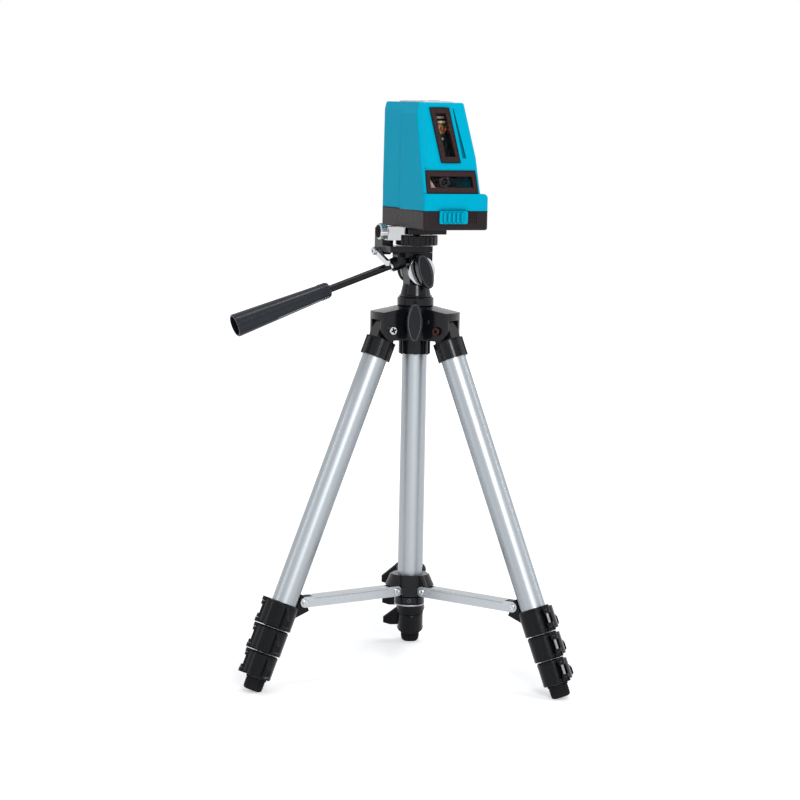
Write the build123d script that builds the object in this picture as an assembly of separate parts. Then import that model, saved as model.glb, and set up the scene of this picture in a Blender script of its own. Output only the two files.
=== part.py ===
from build123d import *
import math
import os

# Self-levelling line laser on a small four-section tripod with a pan and tilt head.
# Millimetres, +Z up, origin on the floor under the centre column. The rear leg points to +Y.

# ---- Legs: driving sizes ----
LEG_AZIMUTHS = (210.0, 330.0, 90.0)
LEG_TILT = 21.9
LEG_TILT_FOLDED = 2.0
LEG_LENGTH = 313.6
PIVOT_RADIUS = 28.0
TUBE_RADII = (10.25, 8.5, 7.0, 5.5)
TUBE_WALL = 0.8
TUBE_RETREAT = 24.0
SLIDE_GAP = 0.1
SEAT_GAP = 0.05
BUSH_HEIGHT = 12.0

# ---- Flip locks ----
LOCK_1_TOP = 237.5
LOCK_HEIGHTS = (21.4, 21.0, 20.0)
LOCK_WALLS = (2.75, 3.7, 4.2)
LOCK_GAP = 0.6
LOCK_TURN = -21.0
LOCK_CHAMFER = 1.1
SOCKET_DEPTH = 9.5
LUG_HALF = 3.2
LUG_HEIGHT = 3.4
LUG_REACH = 1.7
HINGE_PIN_RADIUS = 1.25
PIN_FIT = 0.06
LEVER_PLATE = 2.0
LEVER_GAP = 0.35
LEVER_WRAP = 98.0
LEVER_MARGIN = 1.5
TAB_LENGTH = 12.0
TAB_FLARE = 18.0
PIN_WINDOW = 3.9

# ---- Feet ----
FOOT_RADIUS = 7.8
FOOT_GAP = 0.4
FOOT_OVERRUN = -1.2
FOOT_LIP = 0.7
FOOT_ROUND = 2.4

# ---- Top knuckles and pivots ----
KNUCKLE_HALF = 6.9
KNUCKLE_EYE = 7.7
KNUCKLE_OUT = 8.4
KNUCKLE_SHOULDER = 2.9
ROOF_GAP = 0.4
COLLAR_TOP = 9.0
COLLAR_HEIGHT = 15.5
COLLAR_WALL = 1.3
RIB_DEPTH = 0.9
RIB_WIDTH = 2.2
COLLAR_RIBS = 8
TUBE_SEAT = 13.0
BOLT_RADIUS = 2.0
BOLT_FIT = 0.05
BOLT_HEAD_RADIUS = 3.3
BOLT_HEAD_HEIGHT = 1.8

# ---- Spreader braces ----
BRACE_STATION = 231.4
BRACE_OFFSET = 15.7
HUB_PIVOT_RADIUS = 14.5
HUB_PIVOT_Z = 73.2
BRACE_INNER = 4.3
BRACE_SHEET = 1.0
BRACE_HALF_HEIGHT = 4.25
BRACE_OPEN_END = 7.5
TONGUE_HALF = 4.0
RIVET_RADIUS = 1.5
RIVET_HEAD_RADIUS = 2.5
RIVET_HEAD = 0.7

# ---- Centre tube, hub and column ----
CENTRE_TUBE_RADIUS = 10.0
CENTRE_TUBE_WALL = 0.9
END_STOP_BOTTOM = 60.4
END_STOP_STEP = 62.2
END_STOP_TOP = 68.6
END_STOP_RADIUS = 12.4
END_STOP_FOOT = 11.8
PLUG_TOP = 76.0
COLUMN_RADIUS = 8.8
COLUMN_WALL = 1.0
COLUMN_BOTTOM = 92.0
HUB_ROOF_RADIUS = 20.5
HUB_ROOF_TOP_RADIUS = 16.0
HUB_ROOF_HEIGHT = 9.2
HUB_NECK_RADIUS = 13.0
HUB_GAP = 0.35
HUB_POCKET = 0.25

# ---- Crown ----
CROWN_BOTTOM = 270.6
CROWN_COLLAR_TOP = 283.0
CROWN_COLLAR_RADIUS = 12.3
CROWN_BARREL_RADIUS = 17.0
CROWN_TOP = 310.0
CROWN_RIBS = 10
CHEEK_INNER = 7.2
CHEEK_OUTER = 12.0
CHEEK_ROUND = 8.5
ROOF_TIP_RADIUS = 37.5
ROOF_TIP_Z = 305.6
ROOF_THICKNESS = 6.2
KNOB_Z = 298.0
KNOB_WIDTH = 12.6
KNOB_LENGTH = 31.0
WING_TIP = 3.6
WING_THICKNESS = 6.0
WING_RIM = 1.3
WING_DISH = 0.7

# ---- Pan and tilt head ----
HEAD_TURN = 24.0
HEAD_COLLAR_RADIUS = 15.0
HEAD_COLLAR_HEIGHT = 7.0
PAN_CONE_HEIGHT = 10.5
PAN_CONE_RADII = (13.0, 10.6)
TILT_AXIS_Z = 339.0
DRUM_RADIUS = 9.5
DRUM_HALF = 7.0
RING_THICKNESS = 1.0
RING_RADIUS = 10.4
CHEEK_PLATE = 3.0
WASHER_RADIUS = 11.6
WASHER_THICKNESS = 1.2
TILT_BOLT_RADIUS = 2.5
TILT_KNOB_WIDTH = 12.4
TILT_KNOB_LENGTH = 29.0
TILT_KNOB_TURN = -18.0
RUN_FIT = 0.05
FACE_GAP = 0.1
BRIDGE_TOP = 353.8
HANDLE_SLOPE = 19.4
HANDLE_SOCKET_X = 22.0
HANDLE_SOCKET_Z = 343.0
ROD_RADIUS = 3.0
ROD_VISIBLE = 58.0
GRIP_LENGTH = 85.0
GRIP_RADII = (6.3, 9.5)
GRIP_WALL = 1.6
GRIP_HOLLOW = 30.0
FLIP_AXIS_Y = 12.5
FLIP_AXIS_Z = 353.9
FLIP_PIN_RADIUS = 1.6
WHEEL_RADIUS = 17.3
WHEEL_BOTTOM = 359.6
WHEEL_HEIGHT = 8.2
WHEEL_GROOVES = 24
SCREW_RADIUS = 3.0
PLATE_BOTTOM = 368.6
PLATE_THICKNESS = 4.4
PLATE_X = (-28.0, 21.5)
PLATE_Y = (-11.6, 22.0)
JAW_Y = (-6.5, 5.2)
JAW_AT = (-0.6, 370.8)
PAD_THICKNESS = 2.2

# ---- Line laser ----
LASER_X = (-23.5, 32.5)
LASER_Y = (-68.0, 20.0)
BASE_HEIGHT = 15.0
BAND_HEIGHT = 13.8
BODY_HEIGHT = 72.0
SHELL = 2.6
CORNER = 2.6
BODY_CORNER = 2.2
BODY_FRONT = (-66.9, -48.0)
BODY_REAR = (20.0, 18.8)
BODY_RIGHT = (26.0, 24.8, 18.2)
BODY_SHARES = (0.0, 0.4, 1.0)
SHOULDER = (2.4, 9.0)
TOP_ROUND = 2.0
FLANGE_BEVEL = 3.0
SIDE_STEP = 0.7
SIDE_STEP_Y = -18.0
BEZEL_THICKNESS = 2.0
BEZEL_PROUD = 0.5
GLASS_DEPTH = 4.0
# Outlines on the sloping front: (left, right) at the bottom, (left, right) at the top, start, end.
BEZEL_WIDE = ((-20.8, 23.2), (-20.8, 22.2), 0.6, 18.6)
OPENING_WIDE = ((-17.4, 19.8), (-17.4, 19.0), 5.0, 14.2)
BEZEL_TALL = ((-6.2, 10.0), (-12.6, 3.8), 25.5, 70.0)
OPENING_TALL = ((-2.4, 6.4), (-8.2, 0.8), 30.0, 65.5)
FRONT_GROOVE = ((12.6, 15.8), (7.4, 8.2), 29.0, 69.5)
GROOVE_DEPTH = 1.6
FLUTE_RADIUS = 4.4
FLUTE_DEPTH = 0.6
KEYPAD_X = (-15.0, 12.0)
KEYPAD_Y = (-43.0, 9.0)
BUTTON_AT = (-1.5, -33.0)
DOOR_X = (-18.5, 27.5)
DOOR_HINGE_Y = -62.3
DOOR_END_Y = -18.0
DOOR_THICKNESS = 2.0
CELL_RADIUS = 5.25
CELL_LENGTH = 44.5
CELL_PITCH = 14.8
SWING_AXIS = (1.0, -26.0, 461.0)
MODULES = ((6.0, 18.6), (48.0, 24.0))

# ---- Derived places ----
PIVOT_Z = LEG_LENGTH * math.cos(math.radians(LEG_TILT))
LOCK_RADII = [radius + wall for radius, wall in zip(TUBE_RADII, LOCK_WALLS)]
LOCK_TOPS = [LOCK_1_TOP]
for height in LOCK_HEIGHTS[:2]:
    LOCK_TOPS.append(LOCK_TOPS[-1] + height + LOCK_GAP)
FOOT_TOP = LOCK_TOPS[2] + LOCK_HEIGHTS[2] + FOOT_GAP
LASER_BOTTOM = PLATE_BOTTOM + PLATE_THICKNESS + PAD_THICKNESS
BASE_TOP = LASER_BOTTOM + BASE_HEIGHT
BAND_TOP = BASE_TOP + BAND_HEIGHT
LASER_TOP = BAND_TOP + BODY_HEIGHT
SWITCH_Z = LASER_BOTTOM + 10.2
DOOR_HINGE_Z = LASER_BOTTOM + DOOR_THICKNESS / 2
RING_FACE = DRUM_HALF + FACE_GAP
CHEEK_FACE = RING_FACE + RING_THICKNESS + FACE_GAP
BLOCK_HALF = CHEEK_FACE + CHEEK_PLATE


def box(x, y, z):
    """A box from three (low, high) pairs."""
    size = [high - low for low, high in (x, y, z)]
    middle = [(high + low) / 2 for low, high in (x, y, z)]
    return Pos(*middle) * Box(*size)


def rod(axis, radius, start, end, at=(0.0, 0.0)):
    """A cylinder along x, y or z, with its centre line at the other two coordinates."""
    length = end - start
    middle = (start + end) / 2
    if axis == "x":
        return Pos(middle, at[0], at[1]) * Rot(0, 90, 0) * Cylinder(radius, length)
    if axis == "y":
        return Pos(at[0], middle, at[1]) * Rot(90, 0, 0) * Cylinder(radius, length)
    return Pos(at[0], at[1], middle) * Cylinder(radius, length)


def ring(axis, outer, inner, start, end, at=(0.0, 0.0)):
    """A tube along x, y or z."""
    return rod(axis, outer, start, end, at) - rod(axis, inner, start - 1, end + 1, at)


def slab_xz(points, y_low, y_high):
    """A plate with the outline given in x and z, from y_low to y_high."""
    face = make_face(Polyline(*[(x, 0, z) for x, z in points], close=True))
    return extrude(Pos(0, y_low, 0) * face, amount=y_high - y_low, dir=(0, 1, 0))


def spokes(count, inner, outer, width, z_low, z_high, start=0.0):
    """Evenly spaced upright ribs round the z axis."""
    blade = box((inner, outer), (-width / 2, width / 2), (z_low, z_high))
    return [Rot(0, 0, start + 360 / count * i) * blade for i in range(count)]


def joined(shape, others):
    for other in others:
        shape = shape + other
    return shape


def save(name, *shapes):
    """Writes one node, whose solids stay separate."""
    solids = [solid for shape in shapes for solid in shape.solids()]
    node = solids[0] if len(solids) == 1 else Compound(children=solids)
    export_step(node, os.path.join("parts", name + ".step"))


def leg_frame(azimuth, tilt=LEG_TILT):
    """The leg's own frame: origin at the pivot, x outward, z up along the leg."""
    turn = math.radians(azimuth)
    lean = math.radians(tilt)
    radial = Vector(math.cos(turn), math.sin(turn), 0)
    up = Vector(0, 0, 1)
    origin = radial * PIVOT_RADIUS + up * PIVOT_Z
    outward = radial * math.cos(lean) + up * math.sin(lean)
    along = up * math.cos(lean) - radial * math.sin(lean)
    return Plane(origin=origin, x_dir=outward, z_dir=along).location


def from_leg(x, z, tilt):
    """Radius and height of a point that is given in the leg's own frame."""
    lean = math.radians(tilt)
    radius = PIVOT_RADIUS + x * math.cos(lean) - z * math.sin(lean)
    return radius, PIVOT_Z + x * math.sin(lean) + z * math.cos(lean)


# ---- Spreader linkage: the arm's length, the hub's travel and the swings ----
BRACE_PIVOT = from_leg(-BRACE_OFFSET, -BRACE_STATION, LEG_TILT)
BRACE_FOLDED = from_leg(-BRACE_OFFSET, -BRACE_STATION, LEG_TILT_FOLDED)
BRACE_LENGTH = math.hypot(BRACE_PIVOT[0] - HUB_PIVOT_RADIUS, BRACE_PIVOT[1] - HUB_PIVOT_Z)
BRACE_DROP = math.sqrt(BRACE_LENGTH**2 - (BRACE_FOLDED[0] - HUB_PIVOT_RADIUS) ** 2)
HUB_TRAVEL = BRACE_FOLDED[1] + BRACE_DROP - HUB_PIVOT_Z
ARM_REST = math.atan2(BRACE_PIVOT[1] - HUB_PIVOT_Z, BRACE_PIVOT[0] - HUB_PIVOT_RADIUS)
ARM_FOLDED = math.atan2(-BRACE_DROP, BRACE_FOLDED[0] - HUB_PIVOT_RADIUS)
ARM_SWING = ARM_FOLDED - ARM_REST
LEG_SWING = math.radians(LEG_TILT - LEG_TILT_FOLDED)


def bolt_track(share):
    """Where the fixed pivot bolt lies in the leg's frame at a share of the fold."""
    angle = ARM_REST + ARM_SWING * share
    tilt = LEG_TILT - math.degrees(LEG_SWING) * share
    knuckle = from_leg(-BRACE_OFFSET, -BRACE_STATION, tilt)
    radius = HUB_PIVOT_RADIUS + BRACE_LENGTH * math.cos(angle) - knuckle[0]
    height = HUB_PIVOT_Z + HUB_TRAVEL * share + BRACE_LENGTH * math.sin(angle) - knuckle[1]
    lean = math.radians(tilt)
    x = -radius * math.cos(lean) - height * math.sin(lean)
    z = radius * math.sin(lean) - height * math.cos(lean)
    return x, z


def under_roof(x):
    """Height, at x in the leg's frame, of a line just under the crown's roof."""
    lean = math.radians(LEG_TILT)
    room = ROOF_TIP_Z - ROOF_THICKNESS - ROOF_GAP - PIVOT_Z
    return (room - x * math.sin(lean)) / math.cos(lean)


def ribbed_collar(radius, bottom, top, count):
    body = rod("z", radius, bottom, top)
    return joined(body, spokes(count, radius - 2, radius + RIB_DEPTH, RIB_WIDTH, bottom, top, 22.5))


def knuckle():
    """Blade with a hooked eye, and the ribbed collar that grips the leg tube."""
    radius = TUBE_RADII[0] + SEAT_GAP + COLLAR_WALL
    bottom = -COLLAR_TOP - COLLAR_HEIGHT
    blade = rod("y", KNUCKLE_EYE, -KNUCKLE_HALF, KNUCKLE_HALF)
    blade += box((-KNUCKLE_EYE, KNUCKLE_EYE), (-KNUCKLE_HALF, KNUCKLE_HALF), (-COLLAR_TOP, 0))
    shoulder = [
        (0, -COLLAR_TOP),
        (KNUCKLE_OUT, -COLLAR_TOP),
        (KNUCKLE_OUT, under_roof(KNUCKLE_OUT)),
        (KNUCKLE_SHOULDER, under_roof(KNUCKLE_SHOULDER)),
    ]
    blade += slab_xz(shoulder, -KNUCKLE_HALF, KNUCKLE_HALF)
    body = blade + ribbed_collar(radius, bottom, -COLLAR_TOP, COLLAR_RIBS)
    body -= rod("z", TUBE_RADII[0] + SEAT_GAP, bottom - 1, -TUBE_SEAT)
    bore = BOLT_RADIUS + BOLT_FIT
    width = KNUCKLE_HALF + 1
    body -= rod("y", bore, -width, width)
    tracks = [bolt_track(share) for share in (0.2, 0.4, 0.6, 0.8)]
    for x, z in tracks:
        length = math.hypot(x, z)
        slot = box((0, length), (-width, width), (-bore - SLIDE_GAP, bore + SLIDE_GAP))
        body -= Rot(0, -math.degrees(math.atan2(z, x)), 0) * slot
    return body


def leg_tube(index, top, bottom):
    """One drawn tube; the inner ones carry a guide bush that runs in the tube above."""
    outer = TUBE_RADII[index]
    return ring("z", outer, outer - TUBE_WALL, -bottom, -top)


def guide_bush(index, top):
    bore = TUBE_RADII[index - 1] - TUBE_WALL
    radius = TUBE_RADII[index] - TUBE_WALL
    skirt = ring("z", bore - SLIDE_GAP, TUBE_RADII[index] + SEAT_GAP, -top - BUSH_HEIGHT, -top)
    cap = ring("z", bore - SLIDE_GAP, radius - 1.5, -top, -top + 1.5)
    return skirt + cap


def hinge_x(index):
    return LOCK_RADII[index] + LUG_REACH


def flip_lock(index):
    """Clamp collar: socket for the tube above, split bore for the one below, hinge lugs outward."""
    radius = LOCK_RADII[index]
    top = -LOCK_TOPS[index]
    height = LOCK_HEIGHTS[index]
    bottom = top - height
    shoulder = top - SOCKET_DEPTH
    pin_x = hinge_x(index)
    body = rod("z", radius, bottom, top)
    rims = body.edges().filter_by(GeomType.CIRCLE).sort_by(Axis.Z)
    body = chamfer(rims[0], LOCK_CHAMFER / 2)
    rims = body.edges().filter_by(GeomType.CIRCLE).sort_by(Axis.Z)
    body = chamfer(rims[-1], LOCK_CHAMFER)
    body += box((radius - 3, pin_x), (-LUG_HALF, LUG_HALF), (bottom, top))
    body += rod("z", LUG_HALF, bottom, top, (pin_x, 0))
    window = (bottom + LUG_HEIGHT, top - LUG_HEIGHT)
    body -= box((radius - 1.6, pin_x + 2 * LUG_HALF), (-LUG_HALF - 1, LUG_HALF + 1), window)
    body -= rod("z", HINGE_PIN_RADIUS + PIN_FIT, bottom - 1, top + 1, (pin_x, 0))
    body -= rod("z", TUBE_RADII[index] + SEAT_GAP, shoulder, top + 1)
    body -= rod("z", TUBE_RADII[index + 1] + SLIDE_GAP, bottom - 1, shoulder + 1)
    slit = (bottom - 1, shoulder - 1.5)
    body -= box((TUBE_RADII[index + 1] - 1, pin_x + 2 * LUG_HALF), (-0.5, 0.5), slit)
    body = Rot(0, 0, LOCK_TURN) * body
    if index == 0:
        body += brace_tongue()
    return body


def brace_tongue():
    """Gusset on the first lock that carries the outer end of a brace arm."""
    wall = -TUBE_RADII[0] - FACE_GAP * 3
    outline = [
        (wall, -LOCK_1_TOP - 14.0),
        (wall, -BRACE_STATION + 5.0),
        (-BRACE_OFFSET + 2.4, -BRACE_STATION + 4.2),
        (-BRACE_OFFSET - 6.5, -BRACE_STATION - 5.4),
        (-LOCK_RADII[0] + 0.4, -LOCK_1_TOP - 8.5),
    ]
    tongue = slab_xz(outline, -TONGUE_HALF, TONGUE_HALF)
    eye = (-BRACE_OFFSET, -BRACE_STATION)
    tongue += rod("y", TONGUE_HALF, -TONGUE_HALF, TONGUE_HALF, eye)
    return tongue - rod("y", RIVET_RADIUS + PIN_FIT, -9, 9, eye)


def hinge_pin(index):
    top = -LOCK_TOPS[index]
    bottom = top - LOCK_HEIGHTS[index]
    return Rot(0, 0, LOCK_TURN) * rod("z", HINGE_PIN_RADIUS, bottom, top, (hinge_x(index), 0))


def lever(index):
    """Flip lever: hub on the pin, a curved plate round the collar and a flared finger tab."""
    radius = LOCK_RADII[index] + LEVER_GAP
    outer = radius + LEVER_PLATE
    middle = -LOCK_TOPS[index] - LOCK_HEIGHTS[index] / 2
    half = LOCK_HEIGHTS[index] / 2 - LEVER_MARGIN
    slot = LOCK_HEIGHTS[index] / 2 - LUG_HEIGHT - 0.25
    pin_x = hinge_x(index)
    start = math.degrees(math.asin((LUG_HALF + 0.4) / radius))
    hub = rod("z", LUG_HALF - 0.3, middle - slot, middle + slot, (pin_x, 0))
    web = ring("z", outer, radius, middle - slot, middle + slot)
    web = web & wedge(2.0, start + 4, outer + 2, middle - slot, middle + slot)
    hub -= rod("z", LOCK_RADII[index] - 1.3, middle - slot, middle + slot)
    plate = ring("z", outer, radius, middle - half, middle + half)
    plate = plate & wedge(start, LEVER_WRAP, outer + 2, middle - half, middle + half)
    turn = math.radians(LEVER_WRAP - 3)
    root = (radius + LEVER_PLATE / 2) * Vector(math.cos(turn), math.sin(turn), 0)
    out = turn + math.radians(TAB_FLARE)
    tab_plane = Plane(
        origin=root + Vector(0, 0, middle),
        x_dir=(math.cos(out), math.sin(out), 0),
        z_dir=(0, 0, 1),
    )
    outline = [
        (-0.4, -half),
        (TAB_LENGTH / 2, -half),
        (TAB_LENGTH, -half * 0.75),
        (TAB_LENGTH, -half * 0.15),
        (1.0, half),
        (-0.4, half),
    ]
    tab = slab_xz(outline, -LEVER_PLATE / 2, LEVER_PLATE / 2)
    body = hub + web + plate + tab_plane.location * tab
    body -= rod("z", HINGE_PIN_RADIUS + PIN_FIT, middle - half, middle + half, (pin_x, 0))
    window = (middle - PIN_WINDOW, middle + PIN_WINDOW)
    body -= box((LOCK_RADII[index] - 1.5, pin_x + 2 * LUG_HALF), (-LUG_HALF, HINGE_PIN_RADIUS + 1), window)
    return Rot(0, 0, LOCK_TURN) * body


def wedge(start, end, reach, low, high):
    """A pie slice from one angle to another, up to 180 degrees."""
    middle = (start + end) / 2
    points = [(0, 0)]
    for angle in (start, middle, end):
        stretch = reach / math.cos(math.radians(middle - start) / 2)
        points.append((stretch * math.cos(math.radians(angle)), stretch * math.sin(math.radians(angle))))
    face = make_face(Polyline(*points, close=True))
    return extrude(Pos(0, 0, low) * face, amount=high - low, dir=(0, 0, 1))


def foot(location):
    """Rubber foot, cut level by the floor."""
    bottom = -LEG_LENGTH - FOOT_OVERRUN
    body = rod("z", FOOT_RADIUS, bottom, -FOOT_TOP)
    body = fillet(body.edges().sort_by(Axis.Z)[0], FOOT_ROUND)
    body += rod("z", FOOT_RADIUS + FOOT_LIP, -FOOT_TOP - 1.4, -FOOT_TOP)
    body -= rod("z", TUBE_RADII[3] + SEAT_GAP, -LEG_LENGTH + 5, 0)
    floor = box((-400, 400), (-400, 400), (-50, 0))
    return location * body - floor


def brace_arm():
    """Channel arm along x from the hub pivot at the origin, open below, rounded at both ends."""
    half = BRACE_INNER + BRACE_SHEET
    high = BRACE_HALF_HEIGHT
    side = rod("y", high, -half, half)
    side += rod("y", high, -half, half, (BRACE_LENGTH, 0))
    side += box((0, BRACE_LENGTH), (-half, half), (-high, high))
    roof = high - BRACE_SHEET
    side -= box((-9, BRACE_LENGTH + 9), (-BRACE_INNER, BRACE_INNER), (-9, roof))
    side -= box((-9, BRACE_OPEN_END), (-BRACE_INNER, BRACE_INNER), (-9, 9))
    side -= box((BRACE_LENGTH - BRACE_OPEN_END, BRACE_LENGTH + 9), (-BRACE_INNER, BRACE_INNER), (-9, 9))
    for x in (0, BRACE_LENGTH):
        side -= rod("y", RIVET_RADIUS + PIN_FIT / 2, -half - 1, half + 1, (x, 0))
    return side


def rivet(x):
    half = BRACE_INNER + BRACE_SHEET
    body = rod("y", RIVET_RADIUS, -half, half, (x, 0))
    for side in (-1, 1):
        near, far = sorted((side * half, side * (half + RIVET_HEAD)))
        body += rod("y", RIVET_HEAD_RADIUS, near, far, (x, 0))
    return body


def brace_frame(azimuth):
    turn = math.radians(azimuth)
    radial = Vector(math.cos(turn), math.sin(turn), 0)
    along = radial * math.cos(ARM_REST) + Vector(0, 0, math.sin(ARM_REST))
    normal = Vector(0, 0, math.cos(ARM_REST)) - radial * math.sin(ARM_REST)
    origin = radial * HUB_PIVOT_RADIUS + Vector(0, 0, HUB_PIVOT_Z)
    return Plane(origin=origin, x_dir=along, z_dir=normal).location


def make_legs():
    for number, azimuth in enumerate(LEG_AZIMUTHS, start=1):
        place = leg_frame(azimuth)
        save(f"leg_{number}_knuckle", place * knuckle())
        socket = LOCK_TOPS[0] + SOCKET_DEPTH
        save(f"leg_{number}_tube_1", place * leg_tube(0, TUBE_SEAT, socket))
        save(f"leg_{number}_lock_1", place * flip_lock(0), place * hinge_pin(0))
        for index in (1, 2, 3):
            top = TUBE_SEAT + TUBE_RETREAT * index
            solids = [guide_bush(index, top)]
            if index < 3:
                solids.append(leg_tube(index, top, LOCK_TOPS[index] + SOCKET_DEPTH))
                solids += [flip_lock(index), hinge_pin(index)]
                save(f"leg_{number}_section_{index + 1}", *[place * solid for solid in solids])
            else:
                solids.append(leg_tube(index, top, LEG_LENGTH - 5))
                placed = [place * solid for solid in solids]
                save(f"leg_{number}_section_{index + 1}", *placed, foot(place))
        for index in range(3):
            save(f"leg_{number}_lever_{index + 1}", place * lever(index))
        pieces = [brace_arm(), rivet(0), rivet(BRACE_LENGTH)]
        save(f"brace_arm_{number}", *[brace_frame(azimuth) * piece for piece in pieces])


def around(shape):
    """The same piece at each leg's azimuth, modelled along +x."""
    return [Rot(0, 0, azimuth) * shape for azimuth in LEG_AZIMUTHS]


def brace_hub():
    """Sliding hub: a three-lobed roof over the arm ends, slotted neck and riveted lugs."""
    roof_z = HUB_PIVOT_Z + BRACE_HALF_HEIGHT + HUB_GAP
    top = roof_z + HUB_ROOF_HEIGHT
    low = HUB_PIVOT_Z - 4.2
    neck = rod("z", HUB_NECK_RADIUS, low, top)
    lobe = box((0, HUB_ROOF_RADIUS), (-7.2, 7.2), (roof_z, top))
    cone = Pos(0, 0, (roof_z + top) / 2) * Cone(HUB_ROOF_RADIUS, HUB_ROOF_TOP_RADIUS, HUB_ROOF_HEIGHT)
    plan = joined(rod("z", HUB_NECK_RADIUS + 1.8, roof_z, top), around(lobe))
    body = neck + (plan & cone)
    half = BRACE_INNER + BRACE_SHEET + HUB_GAP
    slot = box((CENTRE_TUBE_RADIUS - 0.4, 30), (-half, half), (low - 1, roof_z))
    eye = (HUB_PIVOT_RADIUS, HUB_PIVOT_Z)
    slot += rod("y", BRACE_HALF_HEIGHT + HUB_POCKET, -11, 11, eye)
    for cut in around(slot):
        body -= cut
    lug = box((CENTRE_TUBE_RADIUS - 0.5, HUB_PIVOT_RADIUS), (-TONGUE_HALF, TONGUE_HALF), (low, roof_z + 1))
    lug += rod("y", 3.6, -TONGUE_HALF, TONGUE_HALF, eye)
    root = (HUB_PIVOT_RADIUS - 3, HUB_PIVOT_RADIUS + 3.6)
    lug += box(root, (-TONGUE_HALF, TONGUE_HALF), (HUB_PIVOT_Z, roof_z + 1))
    lug -= rod("y", RIVET_RADIUS + PIN_FIT, -9, 9, eye)
    body = joined(body, around(lug))
    return body - rod("z", CENTRE_TUBE_RADIUS + SLIDE_GAP, low - 5, top + 5)


def centre_tube():
    bottom = END_STOP_BOTTOM + 1.4
    return ring("z", CENTRE_TUBE_RADIUS, CENTRE_TUBE_RADIUS - CENTRE_TUBE_WALL, bottom, CROWN_COLLAR_TOP)


def tube_end_stop():
    """Cap on the tube's lower end: stepped flange outside, plug inside."""
    inner = CENTRE_TUBE_RADIUS - CENTRE_TUBE_WALL - SEAT_GAP
    floor = END_STOP_BOTTOM + 1.4
    flange = rod("z", END_STOP_RADIUS, END_STOP_STEP, END_STOP_TOP)
    flange = chamfer(flange.edges().filter_by(GeomType.CIRCLE), 0.9)
    flange += rod("z", END_STOP_FOOT, END_STOP_BOTTOM, END_STOP_STEP + 1)
    flange -= rod("z", CENTRE_TUBE_RADIUS + SEAT_GAP, floor, END_STOP_TOP + 1)
    return flange + rod("z", inner, END_STOP_BOTTOM + 0.2, PLUG_TOP)


def crown_cone():
    """Everything under the crown's dome: a body of revolution."""
    outline = [
        (0, CROWN_BOTTOM),
        (ROOF_TIP_RADIUS, CROWN_BOTTOM),
        (ROOF_TIP_RADIUS, ROOF_TIP_Z),
        (HEAD_COLLAR_RADIUS + 7, CROWN_TOP - 1.6),
        (HEAD_COLLAR_RADIUS, CROWN_TOP),
        (0, CROWN_TOP),
    ]
    face = make_face(Polyline(*[(x, 0, z) for x, z in outline], close=True))
    return revolve(face, Axis.Z)


def crown():
    """Barrel with three pairs of cheeks under a lobed dome, and the collar on the centre tube."""
    roof_z = ROOF_TIP_Z - ROOF_THICKNESS
    barrel = rod("z", CROWN_BARREL_RADIUS, CROWN_COLLAR_TOP, CROWN_TOP)
    cheeks = box((8, PIVOT_RADIUS), (-CHEEK_OUTER, CHEEK_OUTER), (PIVOT_Z - CHEEK_ROUND, CROWN_TOP))
    cheeks += rod("y", CHEEK_ROUND, -CHEEK_OUTER, CHEEK_OUTER, (PIVOT_RADIUS, PIVOT_Z))
    reach = PIVOT_RADIUS + CHEEK_ROUND
    cheeks += box((PIVOT_RADIUS - 3, reach), (-CHEEK_OUTER, CHEEK_OUTER), (PIVOT_Z, CROWN_TOP))
    roof = box((0, ROOF_TIP_RADIUS), (-CHEEK_INNER - 0.6, CHEEK_INNER + 0.6), (roof_z, CROWN_TOP))
    slot = box((CROWN_BARREL_RADIUS, 50), (-CHEEK_INNER, CHEEK_INNER), (CROWN_BOTTOM, roof_z))
    bolt = rod("y", BOLT_RADIUS + BOLT_FIT, -CHEEK_OUTER - 1, CHEEK_OUTER + 1, (PIVOT_RADIUS, PIVOT_Z))
    body = joined(barrel, around(cheeks))
    body = joined(body, around(roof))
    for cut in around(slot):
        body -= cut
    for cut in around(bolt):
        body -= cut
    body = body & crown_cone()
    body += rod("y", 6.5, -CROWN_BARREL_RADIUS - 3.5, -CROWN_BARREL_RADIUS + 3, (0, KNOB_Z))
    body += ribbed_collar(CROWN_COLLAR_RADIUS, CROWN_BOTTOM, CROWN_COLLAR_TOP + 1, CROWN_RIBS)
    body -= rod("z", CENTRE_TUBE_RADIUS + SEAT_GAP, CROWN_BOTTOM - 1, CROWN_COLLAR_TOP)
    body -= rod("z", COLUMN_RADIUS + SLIDE_GAP, CROWN_COLLAR_TOP - 1, CROWN_TOP + 1)
    return body - rod("y", BOLT_RADIUS + PIN_FIT, -30, 0, (0, KNOB_Z))


def pivot_bolt():
    """Bolt through a pair of cheeks: domed head on one side, nut on the other."""
    at = (PIVOT_RADIUS, PIVOT_Z)
    body = rod("y", BOLT_RADIUS, -CHEEK_OUTER - BOLT_HEAD_HEIGHT, CHEEK_OUTER, at)
    head = rod("y", BOLT_HEAD_RADIUS, CHEEK_OUTER, CHEEK_OUTER + BOLT_HEAD_HEIGHT, at)
    head = chamfer(head.edges().sort_by(Axis.Y)[-1], 0.9)
    nut = rod("y", BOLT_HEAD_RADIUS, -CHEEK_OUTER - BOLT_HEAD_HEIGHT, -CHEEK_OUTER, at)
    return body + head + nut


def oval(width, length, tip):
    """Oval of four tangent arcs in the xz plane, long along z; tip is its end radius."""
    top = length / 2 - tip
    half = width / 2 - tip
    offset = (top**2 - half**2) / (2 * half)
    side = offset + width / 2
    reach = side / (side - tip)
    x = offset * reach - offset
    z = top * reach
    edges = [
        ThreePointArc((x, 0, -z), (width / 2, 0, 0), (x, 0, z)),
        ThreePointArc((x, 0, z), (0, 0, length / 2), (-x, 0, z)),
        ThreePointArc((-x, 0, z), (-width / 2, 0, 0), (-x, 0, -z)),
        ThreePointArc((-x, 0, -z), (0, 0, -length / 2), (x, 0, -z)),
    ]
    return make_face(edges)


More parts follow.
